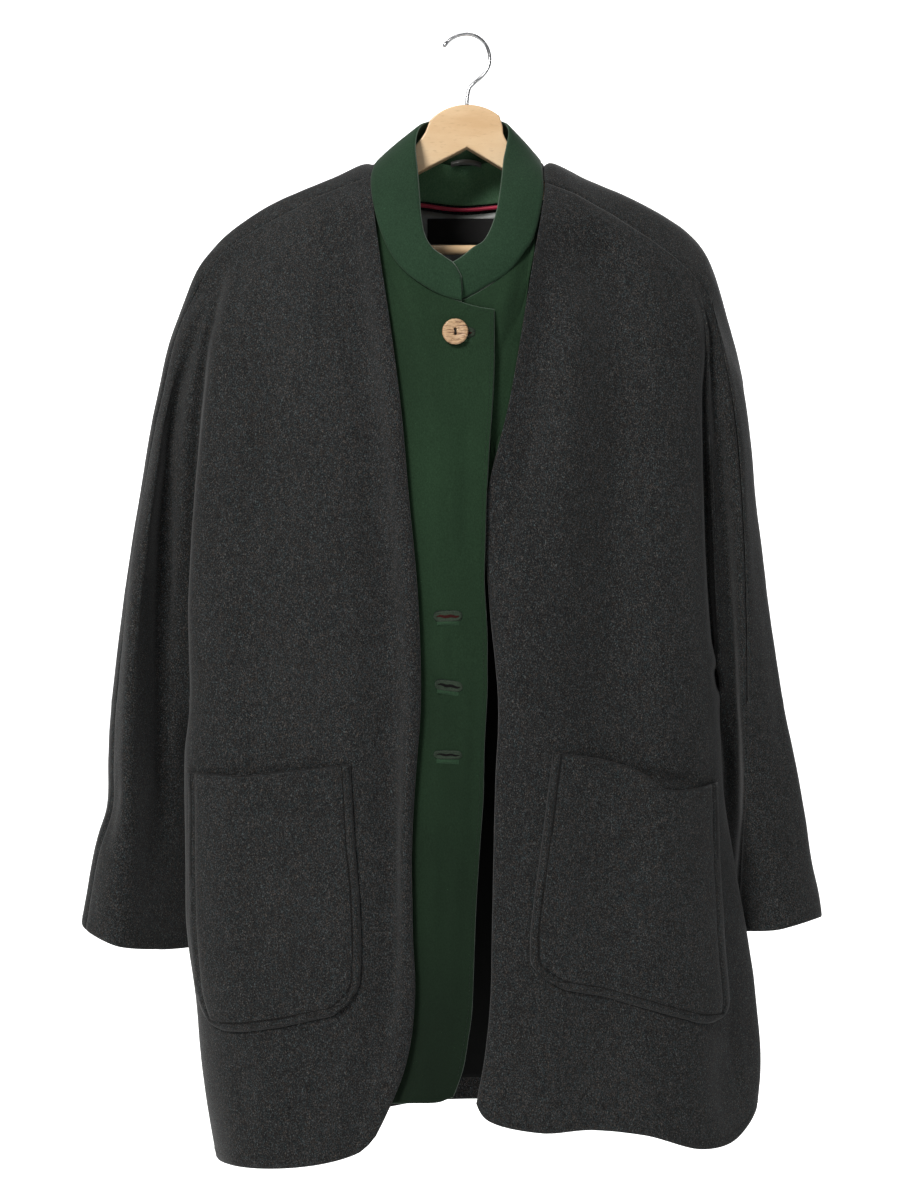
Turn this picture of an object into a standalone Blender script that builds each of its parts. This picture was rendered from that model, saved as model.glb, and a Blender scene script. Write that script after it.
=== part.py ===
"""A trachten jacket of grey loden with green gilet fronts, hanging on a wooden hanger.

Metres, +Z up, the front faces -Y. The origin is the inner top of the hanger's hook, where a rail carries it.

The cloth is laid out as a tailor's drawing: a fold has a column x and a depth at each named level y.
One step of the drawing is UNIT metres in the hanger's plane, and the drawing is seen from REACH metres in front.
Depths are in millimetres behind the hanger's plane (negative is towards the front).
Sections through the folds are smooth curves, and the cloth is a wall of WALL metres inside them.
"""

import bpy
import bmesh
import math
import numpy as np

# ---------------------------------------------------------------- sizes
MM = 0.001
UNIT = 0.00092
REACH = 2.0
MID_X, MID_Y = 451.5, 600.0
HANG_X, HANG_Y = 467.0, 36.0
UNDERARM = 700.0
WALL = 0.0022
GREEN_WALL = 0.0018
COLLAR_WALL = 0.0026
SATIN_WALL = 0.0010
SEAM = 0.0004
STANDOFF = 0.0020
UNDERLAY = 5.5 * MM
BUTTON_RADIUS, BUTTON_HEIGHT = 0.0115, 0.0042
WOOD_THICK, BAR_RADIUS, HOOK_RADIUS = 0.014, 0.0045, 0.0017

# ---------------------------------------------------------------- tables
BODY_LEVELS = (250, 315, 400, 500, 600, 700, 780, 860, 930, 1000, 1070)
ARM_LEVELS = (315, 400, 500, 600, 700, 760, 810, 850, 900)
BACK_LEVELS = (315, 400, 500, 600, 700, 860, 1000)

# name: top x on the shoulder seam, roll mm, x at each level, depth at each level, foot (x, y, depth)
RIGHT_BODY = {
    "E": (370, 12, (378, 388, 399.5, 409, 418, 421, 415.5, 412, 413, 415, 404.5), (-66, -73, -78, -80, -82, -83, -84, -85, -87, -89, -89), (376, 1137, -87)),
    "K": (360, 12, (368, 378, 390, 399, 408, 411, 406, 403, 404, 405, 392), (-61, -71, -78, -82, -85, -87, -88, -89, -91, -93, -92), (364, 1149, -89)),
    "Q": (348, 12, (354, 361, 371, 381, 389, 393, 394, 394, 393, 390, 376), (-49, -56, -63, -67, -70, -73, -75, -77, -80, -83, -86), (349, 1157, -87)),
    "P": (328, 11, (334, 334, 343, 349, 354, 357, 359, 361, 362, 360, 349), (-44, -58, -67, -73, -77, -80, -83, -85, -88, -90, -92), (322, 1164, -90)),
    "G": (302, 10, (303, 299, 306, 311, 315, 318, 319, 318, 317, 313, 304), (-39, -53, -62, -69, -74, -77, -80, -82, -85, -87, -89), (288, 1168, -88)),
    "B": (275, 8, (274, 263, 262, 262, 262, 264, 265, 265, 264, 262, 258), (-31, -44, -53, -59, -62, -65, -70, -73, -76, -79, -81), (255, 1168, -82)),
    "R": (252, 6, (248, 238, 230, 224, 220, 221, 221, 221, 222, 225, 229), (-24, -40, -50, -57, -60, -61, -62, -63, -64, -65, -66), (232, 1165, -66)),
    "A": (236, 4, (232, 218, 206, 196, 189, 190.5, 187, 187.5, 188.5, 197, 203), (-18, -31, -40, -43, -42, -38, -36, -33, -31, -30, -28), (216, 1157, -26)),
}
RIGHT_SIDE = ((780, 191, 8), (860, 190, 3), (930, 191.5, 1), (1000, 200, 0), (1070, 206, 0), (1147, 221, 0))
RIGHT_ARM = {
    "V": (229, 3, (212, 201, 195, 194), (-25, -21, -7, 7), None),
    "L": (222, 2, (208, 191, 184, 180, 180, 182, 185, 187, 189), (-25, -26, -12, 4, 17, 26, 31, 34, 37), (190, 947, 38)),
    "D": (216, 2, (201, 177, 164, 162, 162, 162, 162, 161, 159), (-20, -10, 1, 9, 14, 16, 16, 14, 10), (157, 949, 8)),
    "S": (210, 1, (192, 169, 152, 140, 131, 128, 126, 122, 117), (-18, -20, -22, -22, -22, -22, -22, -22, -23), (115, 945, -23)),
    "O": (205, 0, (183.5, 160.5, 142.5, 128, 116, 113, 110.5, 98.5, 89.5), (-10, -8, -6, -5, -4, -4, -3, -2, 0), (85, 929, 0)),
}
RIGHT_INSEAM = ((760, 192, 38), (810, 197, 43), (850, 200, 46), (900, 201, 48), (945, 202, 48))
RIGHT_UNDERARM = (196, 702, 20)

LEFT_BODY = {
    "E": (546, 12, (536.5, 525.5, 511, 487.7, 489, 498, 495.5, 493.5, 492, 490, 482.5), (-67, -74, -76, -74, -74, -78, -80, -82, -84, -86, -87), (476, 1104, -87)),
    "K": (557, 12, (547, 545, 534, 516, 503, 508, 506, 504, 503, 501, 494), (-58, -64, -69, -74, -80, -83, -84, -86, -88, -91, -92), (486, 1119, -92)),
    "Q": (576, 12, (563, 572, 571, 563, 556, 556, 556, 555, 553, 550, 545), (-50, -66, -74, -79, -82, -84, -86, -88, -90, -93, -94), (540, 1133, -94)),
    "P": (606, 11, (604, 613, 621, 617, 616, 615, 614, 612, 608, 602, 596), (-37, -47, -55, -60, -64, -67, -71, -75, -78, -81, -83), (592, 1130, -84)),
    "B": (640, 8, (638, 650, 657, 660, 662, 664, 662, 658, 655, 652, 648), (-32, -46, -57, -63, -67, -69, -71, -73, -75, -77, -79), (645, 1135, -80)),
    "R": (664, 6, (662, 680, 685, 687, 690, 693, 697, 699, 701, 703, 704), (-28, -39, -47, -53, -56, -57, -57, -57, -58, -59, -60), (703, 1149, -60)),
    "A": (682, 4, (680, 697, 700, 702, 706, 713, 717, 720.5, 724, 729.5, 730), (-24, -32, -37, -39, -39, -37, -35, -34, -32, -30, -29), (738, 1138, -28)),
}
LEFT_SIDE = ((780, 721, 7), (860, 734, 5), (930, 747, 5), (1000, 757, 5), (1070, 761, 5), (1105, 757, 5))
LEFT_ARM = {
    "V": (690, 3, (703, 703, 705, 709), (-24, -19, -9, -1), None),
    "L": (697, 2, (706, 708, 712, 716, 720, 723, 720.5, 721, 724), (-24, -25, -22, -17, -8, 20, 38, 50, 62), (726, 929, 66)),
    "D": (703, 2, (710, 714, 722, 730, 735, 738, 738, 735, 732), (-18, -12, -8, -4, 0, 5, 16, 30, 44), (731, 931, 49)),
    "S": (708, 1, (714.5, 725, 733, 738, 741, 743, 741.5, 738, 734), (-18, -20, -21, -20, -18, -12, 3, 18, 32), (733, 932, 38)),
    "O": (712, 0, (719, 733.5, 743, 746.5, 747.5, 746.5, 744, 741, 738.5), (-16, -21, -24, -24, -22, -17, -6, 8, 22), (737.5, 931, 26)),
    "T": (709, 0, (722, 739, 750, 757, 763, 766, 769, 771, 776), (-8, -11, -13, -13, -13, -11, -9, -7, -6), (779, 929, -6)),
}
LEFT_INSEAM = ((760, 722, 44), (810, 727, 62), (850, 732, 71), (900, 739, 80), (926, 744, 84))
LEFT_UNDERARM = (720, 702, 5)

# the shoulder seams, from the neck to the shoulder's tip: x, y, depth
RIGHT_SEAM = ((370, 176, -30), (347, 184, -25), (318, 196, -20), (285, 213, -16), (255, 229, -12), (236, 241, -10), (222, 253, -9), (212, 264, -8), (205, 276, -7))
LEFT_SEAM = ((546, 182, -32), (575, 193, -30), (612, 213, -28), (652, 239, -26), (675, 256, -24), (690, 270, -21), (700, 282, -18), (707, 293, -16), (712, 300, -15))

# folds of the back: top x on the seam (or a neck point), the roll over the shoulder as (share, x, y, depth), then x and depth at the levels, foot
RIGHT_BACK = {
    "W": (208, ((0.03, 201, 266, 0),), ARM_LEVELS, (179, 156.5, 138.5, 123.5, 111.5, 109, 107, 94.5, 85.5), (5, 8, 10, 12, 13, 13, 13, 13, 13), (81.5, 922, 13)),
    "X": (222, ((0.035, 215, 247, 4), (0.09, 204, 268, 22)), ARM_LEVELS, (190, 170, 155, 143, 133, 130, 127, 122, 118), (29, 38, 45, 50, 53, 55, 57, 59, 61), (118, 934, 62)),
    "Y": (236, ((0.04, 230, 231, 4), (0.1, 219, 258, 28)), (315, 400, 500, 600), (206, 198, 193, 193), (35, 42, 43, 35), None),
    "Z": (275, ((0.045, 272, 203, 1), (0.11, 262, 233, 28)), BACK_LEVELS, (250, 243, 237, 232, 232, 230, 240), (40, 46, 49, 50, 49, 46, 49), (256, 1131, 50)),
    "M": (335, ((0.05, 335, 176, 0), (0.12, 336, 208, 31)), BACK_LEVELS, (340, 342, 340, 335, 332, 334, 338), (48, 55, 59, 61, 62, 66, 70), (345, 1113, 71)),
    "N": (370, ((0.04, 366, 163, -3), (0.11, 369, 182, 29)), BACK_LEVELS, (380, 386, 388, 388, 388, 388, 392), (53, 53, 54, 55, 56, 60, 63), (395, 1105, 65)),
}
LEFT_BACK = {
    "W": (706, ((0.03, 714, 277, -3),), ARM_LEVELS, (724.5, 744, 756, 769.5, 784, 795, 803, 809, 820), (5, 7, 9, 11, 13, 15, 17, 19, 22), (822, 916, 24)),
    "X": (697, ((0.035, 705, 254, 2), (0.09, 710, 273, 21)), ARM_LEVELS, (713, 724, 738, 748, 760, 768, 776, 783, 794), (30, 42, 50, 57, 62, 65, 68, 70, 73), (797, 921, 74)),
    "Y": (681, ((0.04, 688, 232, 2), (0.1, 694, 258, 26)), (315, 400, 500, 600), (703, 706, 711, 716), (36, 40, 39, 28), None),
    "Z": (640, ((0.05, 643, 203, -1), (0.11, 648, 233, 27)), BACK_LEVELS, (660, 668, 675, 682, 688, 700, 712), (42, 47, 49, 50, 49, 47, 48), (712, 1108, 50)),
    "M": (585, ((0.05, 586, 178, -2), (0.12, 587, 208, 31)), BACK_LEVELS, (592, 596, 600, 603, 606, 612, 616), (50, 58, 62, 64, 65, 68, 71), (612, 1103, 72)),
    "N": (546, ((0.05, 550, 162, -3), (0.12, 547, 184, 29)), BACK_LEVELS, (545, 548, 548, 548, 548, 550, 550), (52, 52, 53, 54, 55, 59, 62), (548, 1099, 64)),
}
# the back at the neck edge: neck point, roll, x and depth at the levels, foot
NECK_BACK = {
    "r1": ((376, 161, 2), ((0.045, 378, 167, 14), (0.115, 385, 188, 40)), (404, 408, 410, 410, 410, 410, 412), (57, 59, 60, 61, 62, 66, 70), (415, 1101, 72)),
    "r2": ((398, 156, 29), ((0.045, 400, 164, 35), (0.115, 404, 186, 48)), (424, 428, 430, 430, 430, 432, 434), (60, 63, 64, 65, 66, 70, 74), (436, 1099, 76)),
    "C": ((460, 165, 56), ((0.045, 460, 172, 57.5), (0.115, 461, 192, 59.5)), (463, 464, 465, 466, 466, 467, 468), (63, 64, 65, 66, 67, 70, 73), (468, 1098, 74)),
    "l2": ((524, 158, 29), ((0.045, 521, 166, 35), (0.115, 517, 188, 48)), (503, 502, 501, 501, 501, 502, 503), (60, 63, 64, 65, 66, 70, 73), (503, 1098, 75)),
    "l1": ((543, 163, 2), ((0.045, 540, 169, 14), (0.115, 534, 190, 40)), (522, 523, 523, 524, 524, 526, 527), (57, 58, 59, 60, 61, 64, 68), (527, 1098, 70)),
}

# the stand collar from its lapping right end round the neck: foot x, y, depth, top x, y, depth
COLLAR = (
    (461, 300, -76, 452.5, 262, -76), (446, 295.5, -76, 441, 254.5, -75), (430, 288, -76, 431, 246.5, -73.5), (406, 271, -73.4, 424, 234, -70),
    (390.5, 251, -68.6, 420.5, 216, -64), (379, 223, -60, 419, 197, -56), (374.5, 190, -46, 417, 171, -43), (375.5, 168.5, -24, 414.5, 147, -27),
    (381, 157.5, 3, 417, 130, -8), (400.5, 152.8, 26.5, 423.5, 122.5, 8), (428, 156.5, 44.5, 440, 120.5, 27), (460, 161.5, 53, 463, 121, 38),
    (494, 158.5, 45.5, 486, 120.5, 27), (519.5, 154.5, 26.5, 503, 121, 10), (539.5, 159.5, 3, 510, 131, -9), (542.5, 170.5, -24, 504.5, 160, -28),
    (542.5, 195, -45, 502, 181, -43), (533, 231, -60, 497, 212, -56), (521, 251, -66, 486.5, 237.5, -64), (505, 270, -69, 473.5, 247.5, -68),
    (486, 285, -71, 461, 257.5, -70.5), (467, 296, -71.5, 447, 266, -71), (452, 301, -71.5, 438, 272, -71),
)

# the green fronts: right edge of the upper one and its bottom, by level
PLACKET_EDGE = ((310, 494), (360, 494), (406, 492), (447, 489), (500, 486), (580, 484), (636, 487), (692, 487), (748, 484), (800, 483), (840, 480), (900, 476), (950, 474), (1011, 472), (1052, 466), (1089, 459), (1105, 447))
GREEN_CROWN = ((180, -46), (215, -57), (245, -66), (300, -75), (400, -77.5), (500, -79), (600, -80), (700, -81), (850, -83), (1000, -87), (1105, -88))
UNDERLAP_EDGE = ((300, 470), (400, 471), (450, 478), (500, 489), (560, 498), (640, 508), (800, 512), (1000, 510), (1095, 500))
# share of the width, then the top point x, y of each line of the cloth
PLACKET_LINES = ((-0.25, 366, 216), (0.0, 375, 210), (0.14, 380.5, 225), (0.32, 392, 254), (0.5, 407.5, 273), (0.68, 431, 290), (0.84, 461, 302), (0.93, 478, 307), (1.0, 494, 309.5))
UNDERLAP_LINES = ((0.0, 462, 300.5), (0.12, 470, 297), (0.3, 487, 287), (0.5, 506.5, 272), (0.7, 522.5, 253), (0.85, 535, 232.5), (1.0, 541.5, 212), (1.25, 549, 216))

POCKET_RIGHT = dict(left=((772, 190.5), (860, 190.5), (930, 191.5), (985, 197), (1031, 209)), right=((765, 350), (839, 354), (898, 359), (957, 361), (990, 358), (1012, 350)), top=((184, 772), (243, 777), (299, 771), (350, 765)), foot=((205, 1029), (245, 1031), (279, 1027), (340, 1014), (352, 1008)), gape=((0.0, 2.0), (0.5, 5.5), (1.0, 1.0)))
POCKET_LEFT = dict(left=((753, 553), (819, 545), (888, 536), (938, 530), (967, 532), (986, 543)), right=((783, 715), (860, 718), (938, 722), (985, 726), (1024, 729)), top=((553, 753), (589, 758), (625, 766), (645, 773), (652, 784), (664, 790), (680, 791), (700, 787), (717, 782)), foot=((541, 986), (575, 991), (605, 996), (660, 1012), (698, 1022), (728, 1024)), gape=((0.0, 1.0), (0.35, 5.0), (0.65, 9.0), (1.0, 2.0)))

# ---------------------------------------------------------------- curves
def place(p):
    """Drawing x, y and depth in mm, to metres in the part's frame."""
    p = np.asarray(p, float)
    k = UNIT * (REACH + p[..., 2] * MM) / REACH
    x = (MID_X - HANG_X) * UNIT + (p[..., 0] - MID_X) * k
    z = (HANG_Y - MID_Y) * UNIT - (p[..., 1] - MID_Y) * k
    return np.stack([x, p[..., 2] * MM, z], -1)


def drawn(q):
    """The reverse of place, without the depth: metres to drawing x and y."""
    k = UNIT * (REACH + q[..., 1]) / REACH
    return np.stack([MID_X + (q[..., 0] - (MID_X - HANG_X) * UNIT) / k, MID_Y - (q[..., 2] - (HANG_Y - MID_Y) * UNIT) / k], -1)


def slopes(t, p):
    h = np.diff(t)[:, None]
    s = np.diff(p, axis=0) / h
    m = np.empty_like(p)
    if len(p) == 2:
        m[:] = s[0]
        return m
    m[1:-1] = (s[:-1] * h[1:] + s[1:] * h[:-1]) / (h[1:] + h[:-1])
    m[0] = 1.5 * s[0] - 0.5 * m[1]
    m[-1] = 1.5 * s[-1] - 0.5 * m[-2]
    return m


def through(t, p, q, m=None):
    """Points at q of the smooth curve that passes p at t."""
    t, p, q = np.asarray(t, float), np.asarray(p, float), np.atleast_1d(np.asarray(q, float))
    if p.ndim == 1:
        return through(t, p[:, None], q)[:, 0]
    m = slopes(t, p) if m is None else m
    k = np.clip(np.searchsorted(t, q, side="right") - 1, 0, len(t) - 2)
    h = (t[k + 1] - t[k])[:, None]
    f = ((q - t[k]) / (t[k + 1] - t[k]))[:, None]
    return p[k] * (1 + 2 * f) * (1 - f) ** 2 + m[k] * h * f * (1 - f) ** 2 + p[k + 1] * f * f * (3 - 2 * f) - m[k + 1] * h * f * f * (1 - f)


def level(table, y):
    a = np.array(table, float)
    return np.interp(y, a[:, 0], a[:, 1])


def smooth(f):
    f = np.clip(f, 0.0, 1.0)
    return f * f * (3 - 2 * f)


class Fold:
    """One fold's line: share 0 is its top, 1 the underarm's level, 2 the hem or cuff."""

    def __init__(self, knots):
        a = np.array(sorted(knots), float)
        self.t, self.p = a[:, 0], a[:, 1:]
        self.m = slopes(self.t, self.p)

    def at(self, v):
        return through(self.t, self.p, v, self.m)[0]


def share(y, top, foot):
    return (y - top) / (UNDERARM - top) if y <= UNDERARM else 1 + (y - UNDERARM) / (foot - UNDERARM)


def seam_point(seam, x):
    a = np.array(seam, float)
    if a[0, 0] > a[-1, 0]:
        a = a[::-1]
    return np.array([x, np.interp(x, a[:, 0], a[:, 1]), np.interp(x, a[:, 0], a[:, 2])])


def front_fold(seam, levels, row, under):
    x_top, roll, xs, ds, foot = row
    top = seam_point(seam, x_top)
    foot_y = foot[1] if foot else None
    knots = [(0.0, *top)]
    near = [(y, x, d) for y, x, d in zip(levels, xs, ds) if y > top[1] + 32]
    first = near[0]
    if roll:
        f = 15.0 / (first[0] - top[1])
        knots.append((share(top[1] + 15, top[1], 900), top[0] + (first[1] - top[0]) * f * 0.6, top[1] + 15, top[2] - roll))
    for y, x, d in near:
        knots.append((share(y, top[1], foot_y), x, y, d))
    if foot:
        knots.append((2.0, foot[0], foot[1], foot[2]))
    else:
        knots.append((1.0, *under))
    return Fold(knots)


def back_fold(top, roll, levels, xs, ds, foot, under):
    knots = [(0.0, *top)] + [tuple(r) for r in roll]
    start = roll[-1][0] + 0.025
    for y, x, d in zip(levels, xs, ds):
        v = share(y, top[1], foot[1] if foot else None)
        if v > start:
            knots.append((v, x, y, d))
    knots.append((2.0, *foot) if foot else (1.0, *under))
    return Fold(knots)


def seam_fold(under, rows):
    foot = rows[-1][0]
    return Fold([(1.0, *under)] + [(share(y, 0, foot), x, y, d) for y, x, d in rows])


def make_folds():
    folds = {}
    for side, seam, body, arm, back, flank, inseam, under in (
        ("r", RIGHT_SEAM, RIGHT_BODY, RIGHT_ARM, RIGHT_BACK, RIGHT_SIDE, RIGHT_INSEAM, RIGHT_UNDERARM),
        ("l", LEFT_SEAM, LEFT_BODY, LEFT_ARM, LEFT_BACK, LEFT_SIDE, LEFT_INSEAM, LEFT_UNDERARM),
    ):
        ahead = (under[0], under[1], under[2] - 2.6)
        behind = (under[0], under[1], under[2] + 2.6)
        for name, row in body.items():
            folds[side + name] = front_fold(seam, BODY_LEVELS, row, None)
        for name, row in arm.items():
            folds[side + name] = front_fold(seam, ARM_LEVELS, row, ahead)
        for name, (x, roll, levels, xs, ds, foot) in back.items():
            folds[side + name] = back_fold(seam_point(seam, x), roll, levels, xs, ds, foot, behind)
        folds[side + "F"] = seam_fold(under, flank)
        folds[side + "I"] = seam_fold(under, inseam)
    for name, (top, roll, xs, ds, foot) in NECK_BACK.items():
        folds[name] = back_fold(top, roll, BACK_LEVELS, xs, ds, foot, None)
    return folds


FOLDS = make_folds()
CAPE = ["rE", "rK", "rQ", "rP", "rG", "rB", "rR", "rA", "rV", "rL", "rD", "rS", "rO", "rW", "rX", "rY", "rZ", "rM", "rN", "r1", "r2", "C",
        "l2", "l1", "lN", "lM", "lZ", "lY", "lX", "lW", "lT", "lO", "lS", "lD", "lL", "lV", "lA", "lR", "lB", "lP", "lQ", "lK", "lE"]
BODY = ["rE", "rK", "rQ", "rP", "rG", "rB", "rR", "rA", "rF", "rZ", "rM", "rN", "r1", "r2", "C", "l2", "l1", "lN", "lM", "lZ", "lF", "lA", "lR", "lB", "lP", "lQ", "lK", "lE"]
RIGHT_SLEEVE = ["rI", "rL", "rD", "rS", "rO", "rW", "rX", "rI"]
LEFT_SLEEVE = ["lI", "lX", "lW", "lT", "lO", "lS", "lD", "lL", "lI"]


def section(names, v, u, closed=False):
    """Points at u (fold number and share towards the next) of the section at share v, in metres."""
    ctrl = place([FOLDS[n].at(v) for n in names])
    extra = 0
    if closed:
        ctrl = np.concatenate([ctrl[-3:-1], ctrl, ctrl[1:3]])
        extra = 2
    step = np.linalg.norm(np.diff(ctrl, axis=0), axis=1)
    t = np.concatenate([[0.0], np.cumsum(np.maximum(step, 1e-5) ** 0.6)])
    u = np.asarray(u, float) + extra
    k = np.clip(np.floor(u).astype(int), 0, len(ctrl) - 2)
    return through(t, ctrl, t[k] + (u - k) * (t[k + 1] - t[k]))


def surface(names, vs, us, closed=False):
    return np.array([section(names, v, us, closed) for v in vs])


def outward(grid, closed=False):
    """Unit normals of a grid of points, rows down and columns clockwise from above."""
    du = np.gradient(grid, axis=1)
    if closed:
        du[:, 0] = du[:, -1] = grid[:, 1] - grid[:, -2]
    dv = np.gradient(grid, axis=0)
    n = np.cross(du, dv)
    return n / np.maximum(np.linalg.norm(n, axis=2, keepdims=True), 1e-12)


COUNTS = {"rEK": 1, "rKQ": 1, "rQP": 2, "rPG": 1, "rGB": 2, "rBR": 2, "rRA": 2, "rAV": 2, "rVL": 1, "rLD": 1, "rDS": 2, "rSO": 2, "rOW": 1, "rWX": 2, "rXY": 2, "rYZ": 2, "rZM": 2, "rMN": 1, "rN1": 2, "r12": 2, "r2C": 2,
          "lEK": 1, "lKQ": 2, "lQP": 2, "lPB": 2, "lBR": 2, "lRA": 2, "lAV": 2, "lVL": 1, "lLD": 1, "lDS": 1, "lSO": 1, "lOT": 1, "lTW": 2, "lWX": 2, "lXY": 2, "lYZ": 2, "lZM": 2, "lMN": 1, "lN1": 2, "l12": 2, "l2C": 2}


def count_of(a, b):
    side = a[0] if a[0] in "rl" else b[0]
    x, y = a[-1], b[-1]
    if "F" in (x, y):
        pair = "AV" if "A" in (x, y) else "YZ"
    elif "I" in (x, y):
        pair = "VL" if "L" in (x, y) else "XY"
    else:
        pair = x + y if side + x + y in COUNTS else y + x
    return COUNTS[side + pair]


def columns(names, a, b):
    """Section positions from fold a to fold b."""
    i, j = names.index(a), len(names) - 1 - names[::-1].index(b)
    out = []
    for k in range(i, j):
        n = count_of(names[k], names[k + 1])
        out += [k + m / n for m in range(n)]
    return out + [j]


HIGH = (0.0, 0.03, 0.06, 0.1, 0.15, 0.22, 0.31, 0.42, 0.54, 0.66, 0.78, 0.89, 1.0)
LOW = (1.0, 1.1, 1.2, 1.32, 1.44, 1.56, 1.68, 1.8, 1.91, 2.0)


class Panel:
    """A wall of cloth: outer points, the way out at each, and the quads between them."""

    def __init__(self):
        self.out, self.way, self.quads = [], [], []

    def add(self, points, ways, ids=None):
        rows, cols = points.shape[:2]
        ids = -np.ones((rows, cols), int) if ids is None else ids.copy()
        for i in range(rows):
            for j in range(cols):
                if ids[i, j] < 0:
                    ids[i, j] = len(self.out)
                    self.out.append(points[i, j])
                    self.way.append(ways[i, j])
        for i in range(rows - 1):
            for j in range(cols - 1):
                self.quads.append((ids[i, j], ids[i, j + 1], ids[i + 1, j + 1], ids[i + 1, j]))
        return ids


def solid(name, panel, wall, material):
    """The panel as a closed wall: outer face, inner face and rim."""
    out, way = np.array(panel.out), np.array(panel.way)
    inner = out - way * wall
    count = len(out)
    mesh = bmesh.new()
    verts = [mesh.verts.new(p) for p in np.concatenate([out, inner])]
    uses = {}
    for q in panel.quads:
        q = [int(a) for a in q]
        for t in ((q[0], q[1], q[2]), (q[0], q[2], q[3])):
            mesh.faces.new([verts[a] for a in t])
            mesh.faces.new([verts[a + count] for a in t[::-1]])
        for a, b in zip(q, q[1:] + q[:1]):
            uses[(a, b)] = 1
    for a, b in uses:
        if (b, a) not in uses:
            mesh.faces.new([verts[b], verts[a], verts[b + count]])
            mesh.faces.new([verts[a], verts[a + count], verts[b + count]])
    return finish_mesh(name, mesh, material)


def finish_mesh(name, mesh, material, smooth_angle=0.7):
    data = bpy.data.meshes.new(name)
    mesh.to_mesh(data)
    mesh.free()
    obj = bpy.data.objects.new(name, data)
    PARTS.objects.link(obj)
    data.materials.append(material)
    data.shade_smooth()
    data.set_sharp_from_angle(angle=smooth_angle)
    return obj


def pull(points, way_to, amount):
    """Draws a boundary row or column of points towards its neighbour, for the seam's gap."""
    d = way_to - points
    return points + d / np.maximum(np.linalg.norm(d, axis=-1, keepdims=True), 1e-9) * amount


def seam_ways(ways, points, side_sign):
    """The shoulder seam's own way out: up and forward, turning outwards at the tip, square to the seam."""
    run = np.gradient(points, axis=0)
    run /= np.linalg.norm(run, axis=1, keepdims=True)
    f = np.abs(points[:, 0:1]) / 0.235
    aim = np.concatenate([side_sign * 0.9 * f ** 3, np.full_like(f, -0.55), 0.85 - 0.35 * f ** 3], 1)
    aim -= run * (aim * run).sum(1, keepdims=True)
    return aim / np.linalg.norm(aim, axis=1, keepdims=True)


def on_seam(seam, names, a, b, us):
    """The shoulder seam's points for these columns, on the straight runs between the seam's points."""
    xs = [FOLDS[n].at(0.0)[0] for n in names]
    return place([seam_point(seam, np.interp(u, range(len(names)), xs)) for u in us])


def make_rings():
    rings = {}
    us_all = columns(CAPE, "rE", "lE")
    cape = surface(CAPE, HIGH, us_all)
    o_r, o_l = us_all.index(CAPE.index("rO")), us_all.index(CAPE.index("lO"))
    n_r, n_l = us_all.index(CAPE.index("rN")), us_all.index(CAPE.index("lN"))
    cape[0, : n_r + 1] = on_seam(RIGHT_SEAM, CAPE, "rE", "rN", us_all[: n_r + 1])
    cape[0, n_l:] = on_seam(LEFT_SEAM, CAPE, "lN", "lE", us_all[n_l:])
    ways = outward(cape)
    ways[0, : o_r + 1] = seam_ways(ways, cape[0, : o_r + 1], -1)
    ways[0, o_r : n_r + 1] = seam_ways(ways, cape[0, o_r : n_r + 1], -1)
    ways[0, o_l:] = seam_ways(ways, cape[0, o_l:], 1)
    ways[0, n_l : o_l + 1] = seam_ways(ways, cape[0, n_l : o_l + 1], 1)
    rings["cape"] = (us_all, cape, ways)
    for key, names, closed in (("body", BODY, False), ("r_arm", RIGHT_SLEEVE, True), ("l_arm", LEFT_SLEEVE, True)):
        us = columns(names, names[0], names[-1])
        grid = surface(names, LOW, us, closed)
        rings[key] = (us, grid, outward(grid, closed))
    return rings


def cut(ring, names, a, b):
    us, grid, ways = ring
    i, j = us.index(names.index(a)), us.index(len(names) - 1 - names[::-1].index(b))
    return grid[:, i : j + 1].copy(), ways[:, i : j + 1].copy()


def front_panel(rings, side):
    """One front with the front half of its sleeve, slit below the underarm into body and sleeve."""
    lead = side == "r"
    a, b = (side + "E", side + "O") if lead else (side + "O", side + "E")
    top, top_way = cut(rings["cape"], CAPE, a, b)
    if lead:
        body, body_way = cut(rings["body"], BODY, "rE", "rF")
        arm, arm_way = cut(rings["r_arm"], RIGHT_SLEEVE, "rI", "rO")
    else:
        body, body_way = cut(rings["body"], BODY, "lF", "lE")
        arm, arm_way = cut(rings["l_arm"], LEFT_SLEEVE, "lO", "lI")
    top[0] = pull(top[0], top[1], SEAM)
    o, o2 = (-1, -2) if lead else (0, 1)
    top[:, o] = pull(top[:, o], top[:, o2], SEAM + 0.0010)
    arm[:, o] = pull(arm[:, o], arm[:, o2], SEAM)
    f, f2 = (-1, -2) if lead else (0, 1)
    body[:, f] = pull(body[:, f], body[:, f2], SEAM)
    s, s2 = (0, 1) if lead else (-1, -2)
    arm[:, s] = pull(arm[:, s], arm[:, s2], SEAM)
    panel = Panel()
    ids = panel.add(top, top_way)
    nb, na = body.shape[1], arm.shape[1]
    body_ids, arm_ids = -np.ones(body.shape[:2], int), -np.ones(arm.shape[:2], int)
    if lead:
        body_ids[0], arm_ids[0] = ids[-1, :nb], ids[-1, nb - 1 :]
    else:
        arm_ids[0], body_ids[0] = ids[-1, :na], ids[-1, na - 1 :]
    under = int(ids[-1, nb - 1]) if lead else int(ids[-1, na - 1])
    panel.add(body, body_way, body_ids)
    panel.add(arm, arm_way, arm_ids)
    panel.way[under] = np.array((0.0, -0.5, -0.866))
    return panel


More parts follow.
